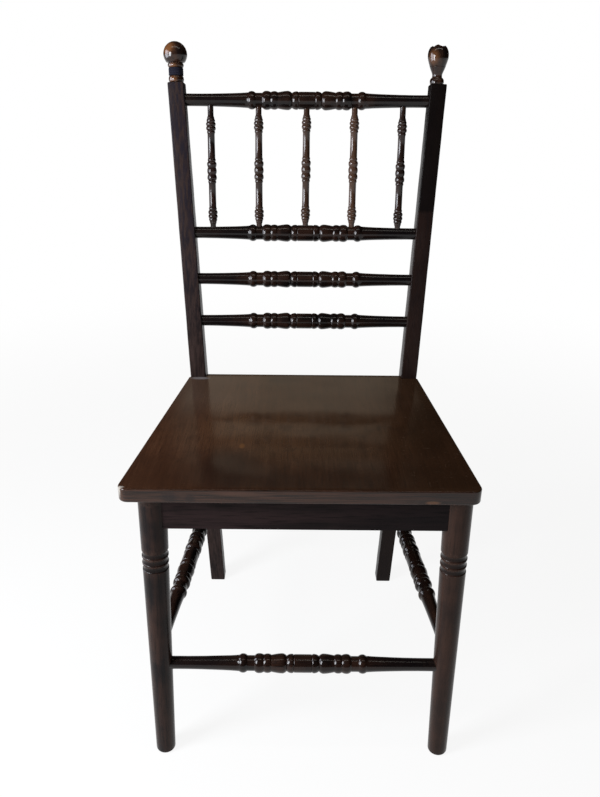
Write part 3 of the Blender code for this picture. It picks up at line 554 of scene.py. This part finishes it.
turned_finish = varnished(
    "turned_varnish", 0, dark=tone(0.004, 0.003, 0.003), mid=tone(0.020, 0.009, 0.006),
    rubbed=tone(0.070, 0.040, 0.024), roughness=0.16, gloss=0.28, mottle=30.0, depth=0.00002,
)
side_finish = varnished(
    "side_stretcher_varnish", 1, dark=tone(0.004, 0.003, 0.003), mid=tone(0.020, 0.009, 0.006),
    rubbed=tone(0.070, 0.040, 0.024), roughness=0.18, gloss=0.24, mottle=30.0, depth=0.00002,
)
from_middle = turned_finish.measure("X") - MIDDLE_X
bar_ends = turned_finish.between(from_middle * from_middle, 0.0040, 0.0170)
turned_finish.tint(bar_ends * 0.7, tone(0.004, 0.003, 0.0035))
for node, along, half, finish in (
    ("top_rail", 0, bar_half, turned_finish),
    ("spindle_rail", 0, bar_half, turned_finish),
    ("middle_rail", 0, bar_half, turned_finish),
    ("lower_rail", 0, bar_half, turned_finish),
    ("front_stretcher", 0, bar_half, turned_finish),
    ("back_stretcher", 0, plain_half, turned_finish),
    ("left_side_stretcher", 1, bar_half, side_finish),
    ("right_side_stretcher", 1, bar_half, side_finish),
):
    start, end = axis_ends(node, along)
    profile = both_ways(half((end - start).length / 2))
    bm = turned(profile, (start + end) / 2, end - start)
    bar = finish_mesh(f"turned_{node}", bm, finish)
    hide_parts(node)

# Spindles
# Five slim turned spindles stand between the top rail and the rail below it, with a group of
# beads in the middle and a bulb of ringed beads near each end. They are glued into blind holes.
# The turned pattern of each sits a little lower than the middle of its span.
SPINDLE_DROPS = (0.0047, 0.0032, 0.0016, 0.0022, 0.0060)
# How far hands and light have faded each spindle
SPINDLE_FADES = (0.0, 0.25, 0.45, 0.80, 0.10)
SPINDLE_NECK = 0.0044
# Crests and valleys from the middle outwards: distance and radius
SPINDLE_BEADS = (
    (0.0000, 0.0074), (0.0051, 0.0061), (0.0103, 0.0074), (0.0140, 0.0056), (0.0161, 0.0063),
    (0.0184, 0.0055),
)
# Crests and valleys of the bulb, which starts this far from the spindle's end
BULB_FROM_END = 0.0391
SPINDLE_BULB = (
    (0.0000, 0.0055), (0.0021, 0.0062), (0.0042, 0.0056), (0.0076, 0.0074), (0.0108, 0.0062),
    (0.0138, 0.0074), (0.0165, 0.0061), (0.0187, 0.0065), (0.0212, 0.0055), (0.0258, 0.0044),
)
SPINDLE_SWELL = 2.0
SPINDLE_RUN_STEPS = 5

spindle_finish = varnished(
    "spindle_varnish", 2, dark=tone(0.005, 0.004, 0.004), mid=tone(0.022, 0.011, 0.009),
    rubbed=tone(0.080, 0.045, 0.030), roughness=0.16, gloss=0.34, mottle=40.0, depth=0.00002,
)
for index, fade in enumerate(SPINDLE_FADES):
    if fade:
        low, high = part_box(f"spindle_{index + 1}")
        spindle_finish.patch((low + high) / 2, (0.03, 1.0, 1.0), fade, tone(0.070, 0.036, 0.022))
for index, drop in enumerate(SPINDLE_DROPS):
    node = f"spindle_{index + 1}"
    low, high = axis_ends(node, 2)
    half_length = (high - low).length / 2
    bulb_start = half_length - BULB_FROM_END
    bulb = [(bulb_start + place, radius) for place, radius in SPINDLE_BULB]
    half = []
    for crests in (SPINDLE_BEADS, bulb):
        half += swelling(crests, [SPINDLE_SWELL] * (len(crests) - 1), SPINDLE_RUN_STEPS)
    half.append((half_length, SPINDLE_NECK))
    bm = turned(both_ways(half, drop), (low + high) / 2, high - low)
    spindle = finish_mesh(f"turned_{node}", bm, spindle_finish)
    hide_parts(node)

# Aprons
# Four flat boards under the seat, coped round the legs and tenoned into them. They are
# stained almost black, with sawn and planed faces that were never polished as the seat was.
apron_finish = varnished(
    "apron_varnish", 0, dark=tone(0.007, 0.005, 0.005), mid=tone(0.019, 0.011, 0.011),
    rubbed=tone(0.050, 0.030, 0.024), roughness=0.45, gloss=0.06, mottle=10.0, wear=0.0,
)
apron_right = apron_finish.between(apron_finish.measure("X"), -0.10, 0.20)
apron_finish.tint(apron_right * 0.65, tone(0.003, 0.0025, 0.003))
side_apron_finish = varnished(
    "side_apron_varnish", 1, dark=tone(0.007, 0.005, 0.005), mid=tone(0.017, 0.010, 0.009),
    rubbed=tone(0.050, 0.030, 0.024), roughness=0.45, gloss=0.06, mottle=10.0, wear=0.0,
)
for node, finish in (
    ("front_apron", apron_finish),
    ("back_apron", apron_finish),
    ("left_side_apron", side_apron_finish),
    ("right_side_apron", side_apron_finish),
):
    for place in frame["nodes"][node].material_slots:
        place.material = finish.material

# Corner blocks and screws
# Under the seat, a softwood block is glued in each corner and one countersunk screw goes up
# through it into the board. Neither was ever stained, and the screws have dulled.
block_finish = Finish("block_wood", roughness=0.75, gloss=0.3)
block_bands = block_finish.clouds((14.0, 240.0, 240.0), detail=5.0)
block_colour = block_finish.mixed(block_bands, tone(0.070, 0.038, 0.020), tone(0.150, 0.092, 0.052))
block_finish.colour(block_colour)
block_finish.relief(block_bands, 0.0006)
screw_finish = Finish("screw_steel", roughness=0.45, metal=1.0)
screw_bloom = screw_finish.clouds((900.0, 900.0, 900.0), detail=4.0)
screw_colour = screw_finish.mixed(screw_bloom, tone(0.090, 0.070, 0.055), tone(0.300, 0.280, 0.260))
screw_finish.colour(screw_colour)
screw_finish.sheen(0.30 + screw_bloom * 0.35)
for place in ("front", "back"):
    for side in ("left", "right"):
        block = frame["nodes"][f"{place}_{side}_corner_block"]
        screw = frame["nodes"][f"{place}_{side}_screw"]
        block.material_slots[0].material = block_finish.material
        screw.material_slots[0].material = screw_finish.material

# Seat board
# One glued-up board, wider in front, notched round the posts, with rounded front corners and
# eased edges. Its varnish is the thickest on the chair and still shines. It is brown in the
# middle, with dark patches, fine scratches and a streaked, knocked front edge. Its back is
# painted lighter and greyer as a painted reflection of the wall behind, and two of the dark
# patches are painted shade: one on the right side and one at the back under the rails.
SEAT_THICKNESS = 0.019
SEAT_DEPTH = 0.386
SEAT_FRONT_LEFT = 0.230
SEAT_FRONT_RIGHT = 0.215
SEAT_BACK_HALF = 0.1895
NOTCH_FRONT = 0.3710
NOTCH_INNER = 0.1628
CORNER_RADIUS = 0.014
TOP_ROUNDING = 0.0018
BOTTOM_ROUNDING = 0.0020
# How close a point lies to a level or a line of the board to count as on it
ON_LEVEL = 1e-5
ON_LINE = 1e-4
SEAT_TOP = seat_box[1].z
SEAT_UNDER = seat_box[0].z
# Where the glued staves meet: place across the board, and how much darker the next one is
STAVE_EDGES = ((-0.0652, 0.16), (0.0132, 0.12))
# Marks on the top: place, reach, strength and colour
SEAT_MARKS = {
    "front_stain": ((-0.092, -0.180), (0.050, 0.075), 0.60, tone(0.012, 0.006, 0.004)),
    "front_smear": ((-0.025, -0.207), (0.055, 0.026), 0.35, tone(0.012, 0.006, 0.004)),
    # Painted shade: a dark patch at the back of the top, under the rails
    "back_painted_shade": ((-0.028, 0.130), (0.034, 0.024), 0.40, tone(0.016, 0.010, 0.008)),
    # Painted shade: the right side of the top darkened
    "right_painted_shade": ((0.185, -0.055), (0.045, 0.100), 0.40, tone(0.012, 0.006, 0.003)),
    "orange_rub": ((-0.0774, -0.1143), (0.005, 0.010), 0.45, tone(0.150, 0.062, 0.020)),
    "pale_scuff": ((-0.164, 0.134), (0.020, 0.008), 0.45, tone(0.260, 0.260, 0.280)),
    "corner_chip": ((-0.217, -0.2265), (0.006, 0.0035), 0.70, tone(0.400, 0.370, 0.330)),
}
# Marks on the front edge: place across and up, reach, strength and colour
EDGE_MARKS = {
    "left_knock": ((-0.1575, 0.4396), (0.014, 0.010), 0.65, tone(0.008, 0.005, 0.005)),
    "next_knock": ((-0.1320, 0.4380), (0.009, 0.008), 0.60, tone(0.008, 0.005, 0.005)),
    "orange_chip": ((0.1612, 0.4345), (0.012, 0.0030), 0.60, tone(0.150, 0.066, 0.030)),
    "rubbed_line": ((-0.0700, 0.4440), (0.050, 0.004), 0.35, tone(0.085, 0.040, 0.026)),
}


def seat_half_width(side, setback):
    """How far one side lies from the board's middle, at a distance behind its front."""
    front = SEAT_FRONT_RIGHT if side > 0 else SEAT_FRONT_LEFT
    return front + (SEAT_BACK_HALF - front) * setback / SEAT_DEPTH


def seat_bmesh():
    """The board's outline pulled up to its thickness, its corners and rims rounded."""
    outline = [(-SEAT_FRONT_LEFT, 0.0), (SEAT_FRONT_RIGHT, 0.0)]
    outline += [(seat_half_width(1, NOTCH_FRONT), NOTCH_FRONT), (NOTCH_INNER, NOTCH_FRONT)]
    outline += [(NOTCH_INNER, SEAT_DEPTH), (-NOTCH_INNER, SEAT_DEPTH)]
    outline += [(-NOTCH_INNER, NOTCH_FRONT), (-seat_half_width(-1, NOTCH_FRONT), NOTCH_FRONT)]
    bm = bmesh.new()
    corners = [bm.verts.new((MIDDLE_X + x, FRONT_Y + y, SEAT_UNDER)) for x, y in outline]
    base = bm.faces.new(corners)
    lifted = bmesh.ops.extrude_face_region(bm, geom=[base])["geom"]
    raised = [item for item in lifted if isinstance(item, bmesh.types.BMVert)]
    bmesh.ops.translate(bm, vec=(0.0, 0.0, SEAT_TOP - SEAT_UNDER), verts=raised)
    upright = []
    for edge in bm.edges:
        first, second = [vert.co for vert in edge.verts]
        stands = abs(first.z - second.z) > SEAT_THICKNESS / 2
        if stands and first.y < FRONT_Y + SEAT_THICKNESS:
            upright.append(edge)
    bmesh.ops.bevel(
        bm, geom=upright, offset=CORNER_RADIUS, offset_type="OFFSET", affect="EDGES",
        segments=10, profile=0.5, material=-1,
    )
    for level, rounding in ((SEAT_TOP, TOP_ROUNDING), (SEAT_UNDER, BOTTOM_ROUNDING)):
        rim = []
        for edge in bm.edges:
            ends = [vert.co for vert in edge.verts]
            flat = all(abs(end.z - level) < ON_LEVEL for end in ends)
            behind = all(end.y > FRONT_Y + NOTCH_FRONT - ON_LINE for end in ends)
            at_back = all(end.y > FRONT_Y + SEAT_DEPTH - ON_LINE for end in ends)
            if flat and (at_back or not behind):
                rim.append(edge)
        bmesh.ops.bevel(
            bm, geom=rim, offset=rounding, offset_type="OFFSET", affect="EDGES",
            segments=5, profile=0.5, material=-1,
        )
    return bm


seat_finish = varnished(
    "seat_varnish", 1, dark=tone(0.034, 0.014, 0.0075), mid=tone(0.058, 0.025, 0.013),
    rubbed=tone(0.110, 0.058, 0.032), roughness=0.13, gloss=0.30, mottle=9.0, wear=0.45,
)
seat_x = seat_finish.measure("X")
seat_y = seat_finish.measure("Y")
wander = (seat_finish.clouds((7.0, 7.0, 7.0), detail=2.0) - 0.5) * 0.10
# Fine lines of the grain, then the brown bloom in the middle and a dull place on its left
lines = seat_finish.clouds((430.0, 9.0, 430.0), detail=5.0)
seat_finish.tint(seat_finish.between(lines, 0.52, 0.36) * 0.34, tone(0.016, 0.007, 0.004))
seat_finish.tint(seat_finish.between(lines, 0.54, 0.70) * 0.25, tone(0.090, 0.045, 0.025))
for x, y, width, depth, amount, colour in (
    (0.010, -0.060, 0.230, 0.150, 0.50, tone(0.082, 0.042, 0.020)),
    (-0.170, 0.050, 0.060, 0.110, 0.35, tone(0.018, 0.010, 0.007)),
):
    uneven = (0.85 + wander * 7.0) * amount
    seat_finish.patch((x, y, SEAT_TOP), (width, depth, SEAT_THICKNESS), uneven, colour)
# Mottling and specks in the old varnish
mottled = seat_finish.clouds((38.0, 24.0, 38.0), detail=6.0, roughness=0.65)
seat_finish.tint(seat_finish.between(mottled, 0.50, 0.34) * 0.40, tone(0.018, 0.009, 0.006))
seat_finish.tint(seat_finish.between(mottled, 0.54, 0.70) * 0.22, tone(0.080, 0.038, 0.020))
specks = seat_finish.clouds((600.0, 420.0, 600.0), detail=2.0)
seat_finish.tint(seat_finish.between(specks, 0.66, 0.72) * 0.35, tone(0.120, 0.080, 0.055))
# Darker in front, lighter and greyer behind as a painted reflection of the wall, redder on
# the left and browner on the right
forward = 1.0 - seat_finish.between(seat_y + wander, -0.22, -0.09)
rearward = seat_finish.between(seat_y + wander, -0.05, 0.07)
leftward = 1.0 - seat_finish.between(seat_x + wander, -0.19, -0.02)
rightward = seat_finish.between(seat_x + wander, 0.05, 0.20)
seat_finish.tint(forward * 0.55, tone(0.017, 0.008, 0.0045))
# Painted reflection of the wall behind: the back lighter, and lighter and greyer on its left
seat_finish.tint(rearward * 0.35, tone(0.066, 0.038, 0.022))
seat_finish.tint(rearward * leftward * 0.40, tone(0.100, 0.064, 0.048))
seat_finish.tint(leftward * (1.0 - rearward) * 0.40, tone(0.040, 0.016, 0.0085))
seat_finish.tint(rightward * 0.35, tone(0.040, 0.019, 0.009))
# Lay the marks on the top, the two painted shades among them
for (x, y), (width, depth), amount, colour in SEAT_MARKS.values():
    grained = (0.6 + lines * 0.8) * amount
    seat_finish.patch((x, y, SEAT_TOP), (width, depth, SEAT_THICKNESS), grained, colour)
for edge_x, darker in STAVE_EDGES:
    next_stave = seat_finish.between(seat_x, edge_x, edge_x + 0.0015)
    seat_finish.tint(next_stave * darker, tone(0.012, 0.006, 0.003))
scratches = seat_finish.clouds((900.0, 40.0, 40.0), detail=2.0) * 0.5
scratches = scratches + seat_finish.clouds((60.0, 700.0, 60.0), detail=2.0) * 0.5
scratched = seat_finish.between(scratches, 0.60, 0.68) * (0.15 + rightward * 0.5)
seat_finish.tint(scratched, tone(0.110, 0.078, 0.056))
# The front edge: reddish streaks along it, dark at its right end, with its own marks
face = 1.0 - seat_finish.between(seat_y, FRONT_Y + 0.0004, FRONT_Y + 0.0016)
streaks = seat_finish.clouds((14.0, 14.0, 520.0), detail=4.0)
red_streaks = seat_finish.between(streaks, 0.48, 0.60)
dark_streaks = seat_finish.between(streaks, 0.47, 0.36)
right_end = seat_finish.between(seat_x, 0.06, 0.21)
seat_finish.tint(face * 0.55, tone(0.026, 0.013, 0.009))
seat_finish.tint(face * red_streaks * 0.75, tone(0.058, 0.024, 0.015))
seat_finish.tint(face * dark_streaks * 0.80, tone(0.006, 0.004, 0.003))
seat_finish.tint(face * 0.22, tone(0.012, 0.007, 0.006))
seat_finish.tint(face * right_end * 0.55, tone(0.012, 0.006, 0.005))
for (x, z), (width, height), amount, colour in EDGE_MARKS.values():
    seat_finish.patch((x, FRONT_Y, z), (width, 0.004, height), amount, colour)
# The board has crowned and rippled a little with age, which bends what its gloss mirrors
crown = seat_finish.spot((0.02, 0.04, SEAT_TOP), (0.24, 0.24, 1.0))
ripple = seat_finish.clouds((8.0, 11.0, 8.0), detail=1.0)
seat_finish.relief(ripple * 0.6 + crown * 0.8 + seat_finish.height * 0.03, 0.0028)
seat = finish_mesh("varnished_seat", seat_bmesh(), seat_finish)
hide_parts("seat_board")

# Finials
# A turned knob is doweled into the end of each post. The left one is a whole ball on a ringed
# neck, rubbed to bare brown where hands take hold. The right one is egg-shaped on a slimmer
# neck, and its top has split away and left a rough broken face.
DOWEL_LENGTH = 0.012
DOWEL_RADIUS = 0.0045
BALL_RADIUS = 0.0175
BALL_HEIGHT = 0.0385
BALL_STEPS = 32
LEFT_LEAN = 0.0085
# The left foot: height above the post and radius of the base ring, neck and collar
LEFT_FOOT = (
    (-DOWEL_LENGTH, 0.0), (-DOWEL_LENGTH, DOWEL_RADIUS), (0.0003, DOWEL_RADIUS),
    (0.0003, 0.0101), (0.0010, 0.0107), (0.0025, 0.0112), (0.0045, 0.0113), (0.0066, 0.0110),
    (0.0080, 0.0104), (0.0088, 0.0096), (0.0091, 0.0075), (0.0200, 0.0075), (0.0203, 0.0104),
    (0.0212, 0.0113), (0.0228, 0.0118), (0.0245, 0.0117), (0.0258, 0.0111), (0.0266, 0.0106),
)
# The right knob before its top split away
RIGHT_KNOB = (
    (-DOWEL_LENGTH, 0.0), (-DOWEL_LENGTH, DOWEL_RADIUS), (0.0003, DOWEL_RADIUS),
    (0.0003, 0.0094), (0.0012, 0.0100), (0.0030, 0.0104), (0.0052, 0.0104), (0.0070, 0.0100),
    (0.0084, 0.0090), (0.0096, 0.0076), (0.0113, 0.0071), (0.0132, 0.0073), (0.0155, 0.0080),
    (0.0180, 0.0091), (0.0207, 0.0104), (0.0232, 0.0114), (0.0246, 0.0119), (0.0251, 0.0117),
    (0.0256, 0.0121), (0.0285, 0.0131), (0.0312, 0.0140), (0.0345, 0.0149), (0.0384, 0.0154),
    (0.0420, 0.0153), (0.0450, 0.0147), (0.0480, 0.0136), (0.0505, 0.0120), (0.0525, 0.0100),
    (0.0540, 0.0070), (0.0548, 0.0035), (0.0550, 0.0),
)
RIGHT_LEAN = -0.002
RIGHT_SHIFT = 0.0010
# The break: its height, its wave across the top, its fall to the back and its torn grain
BREAK_HEIGHT = 0.0520
BREAK_LUMP = 0.0014
BREAK_LUMP_PITCH = 0.0135
BREAK_LUMP_AT = 0.0118
BREAK_SLOPE = -0.10
BREAK_ROUGHNESS = 0.0016
BREAK_GRAIN = 260

finial_finish = varnished(
    "finial_varnish", 2, dark=tone(0.008, 0.005, 0.005), mid=tone(0.034, 0.016, 0.010),
    rubbed=tone(0.140, 0.064, 0.026), roughness=0.14, gloss=0.34, mottle=60.0, depth=0.00002,
)


def ball_profile():
    """The left knob: its foot, then an arc over the ball to the crown."""
    first = math.asin((LEFT_FOOT[-1][0] - BALL_HEIGHT) / BALL_RADIUS)
    points = list(LEFT_FOOT)
    for step in range(1, BALL_STEPS):
        angle = first + (math.pi / 2 - first) * step / BALL_STEPS
        height = BALL_HEIGHT + BALL_RADIUS * math.sin(angle)
        points.append((height, BALL_RADIUS * math.cos(angle)))
    points.append((BALL_HEIGHT + BALL_RADIUS, 0.0))
    return points


def post_end(side):
    """Where a finial stands on its post, and the way it leans."""
    outward = LEFT_LEAN if side < 0 else RIGHT_LEAN
    lean = Vector((side * outward, math.tan(RAKE), 1.0)).normalized()
    word = "left" if side < 0 else "right"
    dowel_end = axis_ends(f"{word}_finial", 2)[0]
    return dowel_end + lean * DOWEL_LENGTH, lean


left_seat, left_lean = post_end(-1)
bm = turned(ball_profile(), left_seat, left_lean)
left_finial = finish_mesh("left_ball_finial", bm, finial_finish)
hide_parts("left_finial")

# Where hands have rubbed the left knob's ball, base ring and collar to bare brown
for up, shift, reach, amount in (
    (BALL_HEIGHT, (-0.010, -0.010, 0.009), (0.016, 0.016, 0.013), 0.85),
    (0.005, (-0.004, -0.011, 0.0), (0.009, 0.009, 0.006), 0.60),
    (0.023, (-0.004, -0.011, 0.0), (0.009, 0.009, 0.005), 0.60),
):
    rubbed_place = left_seat + left_lean * up + Vector(shift)
    finial_finish.patch(rubbed_place, reach, amount, tone(0.150, 0.060, 0.022))

right_seat, right_lean = post_end(1)
right_seat.x -= RIGHT_SHIFT
right_rub = right_seat + Vector((-0.010, -0.009, 0.037))
finial_finish.patch(right_rub, (0.012, 0.014, 0.016), 0.7, tone(0.120, 0.050, 0.020))
bm = turned(RIGHT_KNOB, Vector((0, 0, 0)), Vector((0, 0, 1)))
lean_shift = right_lean / right_lean.z
for vert in bm.verts:
    x, y, height = vert.co
    lump = math.cos((x - BREAK_LUMP_AT) / BREAK_LUMP_PITCH * math.tau) * BREAK_LUMP
    rough = noise.noise(Vector((x * BREAK_GRAIN, y * BREAK_GRAIN, 4.0))) * BREAK_ROUGHNESS
    height = min(height, BREAK_HEIGHT + lump + y * BREAK_SLOPE + rough)
    vert.co = right_seat + Vector((x, y, 0.0)) + lean_shift * height
right_finial = finish_mesh("right_split_finial", bm, finial_finish)
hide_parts("right_finial")

# Tape
# A few turns of navy cloth tape hold the left finial's neck. Each turn overlaps the last a
# little, and its edges have lifted and collected dirt.
TAPE_LOW = 0.0094
TAPE_HIGH = 0.0197
TAPE_RADIUS = 0.0110
TAPE_BORE = 0.0078
TAPE_TURNS = 4
# Each turn starts tucked in, comes out over its edge, and slackens towards the next one
TAPE_TUCK = 0.0005
TAPE_EDGE = 0.0004
TAPE_SLACK = 0.0002
TAPE_LAP = 0.85
TAPE_TAIL = 0.0006

tape_finish = Finish("wound_tape", roughness=0.85, gloss=0.25)
tape_weave = tape_finish.clouds((1400.0, 1400.0, 1400.0), detail=2.0)
tape_dirt = tape_finish.clouds((240.0, 240.0, 240.0), detail=4.0)
tape_colour = tape_finish.mixed(tape_dirt, tone(0.004, 0.004, 0.008), tone(0.007, 0.007, 0.020))
tape_finish.colour(tape_colour)
tape_finish.relief(tape_weave, 0.0003)
profile = [(TAPE_LOW, TAPE_BORE)]
turn_height = (TAPE_HIGH - TAPE_LOW) / TAPE_TURNS
for index in range(TAPE_TURNS):
    base = TAPE_LOW + index * turn_height
    profile += [(base, TAPE_RADIUS - TAPE_TUCK), (base + TAPE_EDGE, TAPE_RADIUS)]
    profile += [(base + turn_height * TAPE_LAP, TAPE_RADIUS - TAPE_SLACK)]
profile += [(TAPE_HIGH, TAPE_RADIUS - TAPE_TAIL), (TAPE_HIGH, TAPE_BORE)]
profile += [(TAPE_LOW, TAPE_BORE)]
bm = turned(profile, left_seat, left_lean)
tape = finish_mesh("wound_neck_tape", bm, tape_finish)
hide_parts("neck_tape")

# Floor, light and camera
# A pale floor under an even sky, a tall lamp on the left like a window, a strip above and a
# soft fill in front. The gloss also mirrors a warm wall behind the chair and a pane beside it.
# The camera stands where the photograph was taken from.
FLOOR_HALF = 30.0
# The floor is white but for a little grey round the chair, out to this far
GREY_FROM = 0.6
GREY_TO = 2.5
NEAR_WHITE = 0.90
# What the sky adds to every surface, to the gloss all round, and to the gloss from the wall
SKY_LIGHT = 0.11
SKY_GLOSS = 0.008
WALL_GLOSS = 0.40
WALL_COLOUR = tone(1.0, 0.84, 0.64)
WHITE = tone(1.0, 1.0, 1.0)
bm = bmesh.new()
bmesh.ops.create_grid(bm, x_segments=8, y_segments=8, size=FLOOR_HALF)
floor_mesh = bpy.data.meshes.new("studio_floor")
bm.to_mesh(floor_mesh)
bm.free()
floor = bpy.data.objects.new("studio_floor", floor_mesh)
bpy.context.collection.objects.link(floor)
floor_finish = Finish("studio_floor", roughness=0.9, gloss=0.1)
floor_finish.colour(tone(0.86, 0.86, 0.86))
floor_mesh.materials.append(floor_finish.material)


def rays(nodes, kind):
    """1 for rays of one kind, such as Camera, Glossy or Diffuse, and 0 for the others."""
    return nodes.node("ShaderNodeLightPath", output=f"Is {kind} Ray")


# The floor shows white to the camera and in reflections, and its plain shader to the lamps
from_chair = floor_finish.node(
    "ShaderNodeVectorMath", settings={"operation": "LENGTH"},
    inputs={0: floor_finish.place}, output="Value",
)
far = floor_finish.between(from_chair, GREY_FROM, GREY_TO)
seen = rays(floor_finish, "Camera") + rays(floor_finish, "Glossy")
seen = seen + rays(floor_finish, "Transmission")
white = floor_finish.node("ShaderNodeEmission", inputs={"Color": WHITE})
plain = Reading(floor_finish.shader.outputs[0])
floor_surface = floor_finish.node(
    "ShaderNodeMixShader",
    inputs={0: seen * (NEAR_WHITE + far * (1.0 - NEAR_WHITE)), 1: plain, 2: white},
)
feed(floor_finish.tree.nodes["Material Output"].inputs["Surface"], floor_surface)

# The sky is white to the camera, and the gloss sees the wall low behind the chair
world = bpy.data.worlds.new("studio_sky")
world.use_nodes = True
bpy.context.scene.world = world
sky = Nodes(world.node_tree)
direction = sky.node("ShaderNodeTexCoord", output="Generated")
across, back, up = [
    sky.node("ShaderNodeSeparateXYZ", inputs={0: direction}, output=axis) for axis in "XYZ"
]
behind = sky.between(back * up, 0.16, 0.32)
beside = sky.between(across * across, 0.012, 0.050)
above = sky.between(up, 0.44, 0.60)
wall = behind * (1.0 - beside) * (1.0 - above)
in_gloss = rays(sky, "Glossy") * (SKY_GLOSS + wall * WALL_GLOSS)
in_view = rays(sky, "Camera") + rays(sky, "Transmission")
background = world.node_tree.nodes["Background"]
feed(background.inputs["Color"], sky.mixed(rays(sky, "Glossy"), WHITE, WALL_COLOUR))
feed(background.inputs["Strength"], in_view + in_gloss + rays(sky, "Diffuse") * SKY_LIGHT)


def lamp(name, place, aim, size, power, colour, lights=True, mirrored=True):
    """A soft rectangular lamp turned towards a point, which lights, shows in gloss, or both."""
    data = bpy.data.lights.new(name, "AREA")
    data.shape = "RECTANGLE"
    data.size = size[0]
    data.size_y = size[1]
    data.energy = power
    data.color = colour
    lamp_object = bpy.data.objects.new(name, data)
    lamp_object.visible_diffuse = lights
    lamp_object.visible_glossy = mirrored
    bpy.context.collection.objects.link(lamp_object)
    turn = (Vector(aim) - Vector(place)).to_track_quat("-Z", "Y").to_matrix().to_4x4()
    lamp_object.matrix_world = Matrix.Translation(place) @ turn
    return lamp_object


lamp(
    "window_lamp", (-1.10, -0.75, 0.95), (0.0, 0.0, 0.50), size=(0.45, 0.80), power=33.0,
    colour=(0.92, 0.95, 1.0),
)
lamp(
    "ceiling_lamp", (0.0, -0.4, 2.5), (0.0, -0.1, 0.45), size=(2.4, 0.12), power=7.0,
    colour=(1.0, 0.95, 0.85),
)
lamp(
    "fill_lamp", (-0.3, -2.2, 2.6), (0.0, 0.0, 0.45), size=(1.8, 1.8), power=10.0,
    colour=(1.0, 0.95, 0.88), mirrored=False,
)
window_glass = lamp(
    "window_glass", (-1.50, 0.02, 0.97), (0.0, 0.1, 0.80), size=(0.95, 1.05), power=36.0,
    colour=(0.86, 0.90, 1.0), lights=False,
)
# Only the turned pieces mirror the pane, which would blind the seat in a view from the side
lathe_work = bpy.data.collections.new("lathe_work")
for piece in bpy.context.scene.objects:
    if "turned" in piece.name or piece.name.endswith("_finial"):
        lathe_work.objects.link(piece)
window_glass.light_linking.receiver_collection = lathe_work

CAMERA_PLACE = (-0.0068, -0.9792, 0.8879)
CAMERA_PITCH = math.radians(65.60)
CAMERA_YAW = math.radians(0.14)
CAMERA_ROLL = math.radians(0.43)
camera_data = bpy.data.cameras.new("photo_camera")
camera_data.lens = 32.46
camera_data.sensor_width = 36.0
camera_data.shift_x = 0.0087
camera_data.shift_y = 0.0215
camera_data.clip_start = 0.05
camera_data.clip_end = 200.0
camera = bpy.data.objects.new("photo_camera", camera_data)
bpy.context.collection.objects.link(camera)
camera.matrix_world = (
    Matrix.Translation(CAMERA_PLACE)
    @ Matrix.Rotation(CAMERA_YAW, 4, "Z")
    @ Matrix.Rotation(CAMERA_PITCH, 4, "X")
    @ Matrix.Rotation(CAMERA_ROLL, 4, "Z")
)
bpy.context.scene.camera = camera
bpy.context.scene.view_settings.view_transform = "Standard"
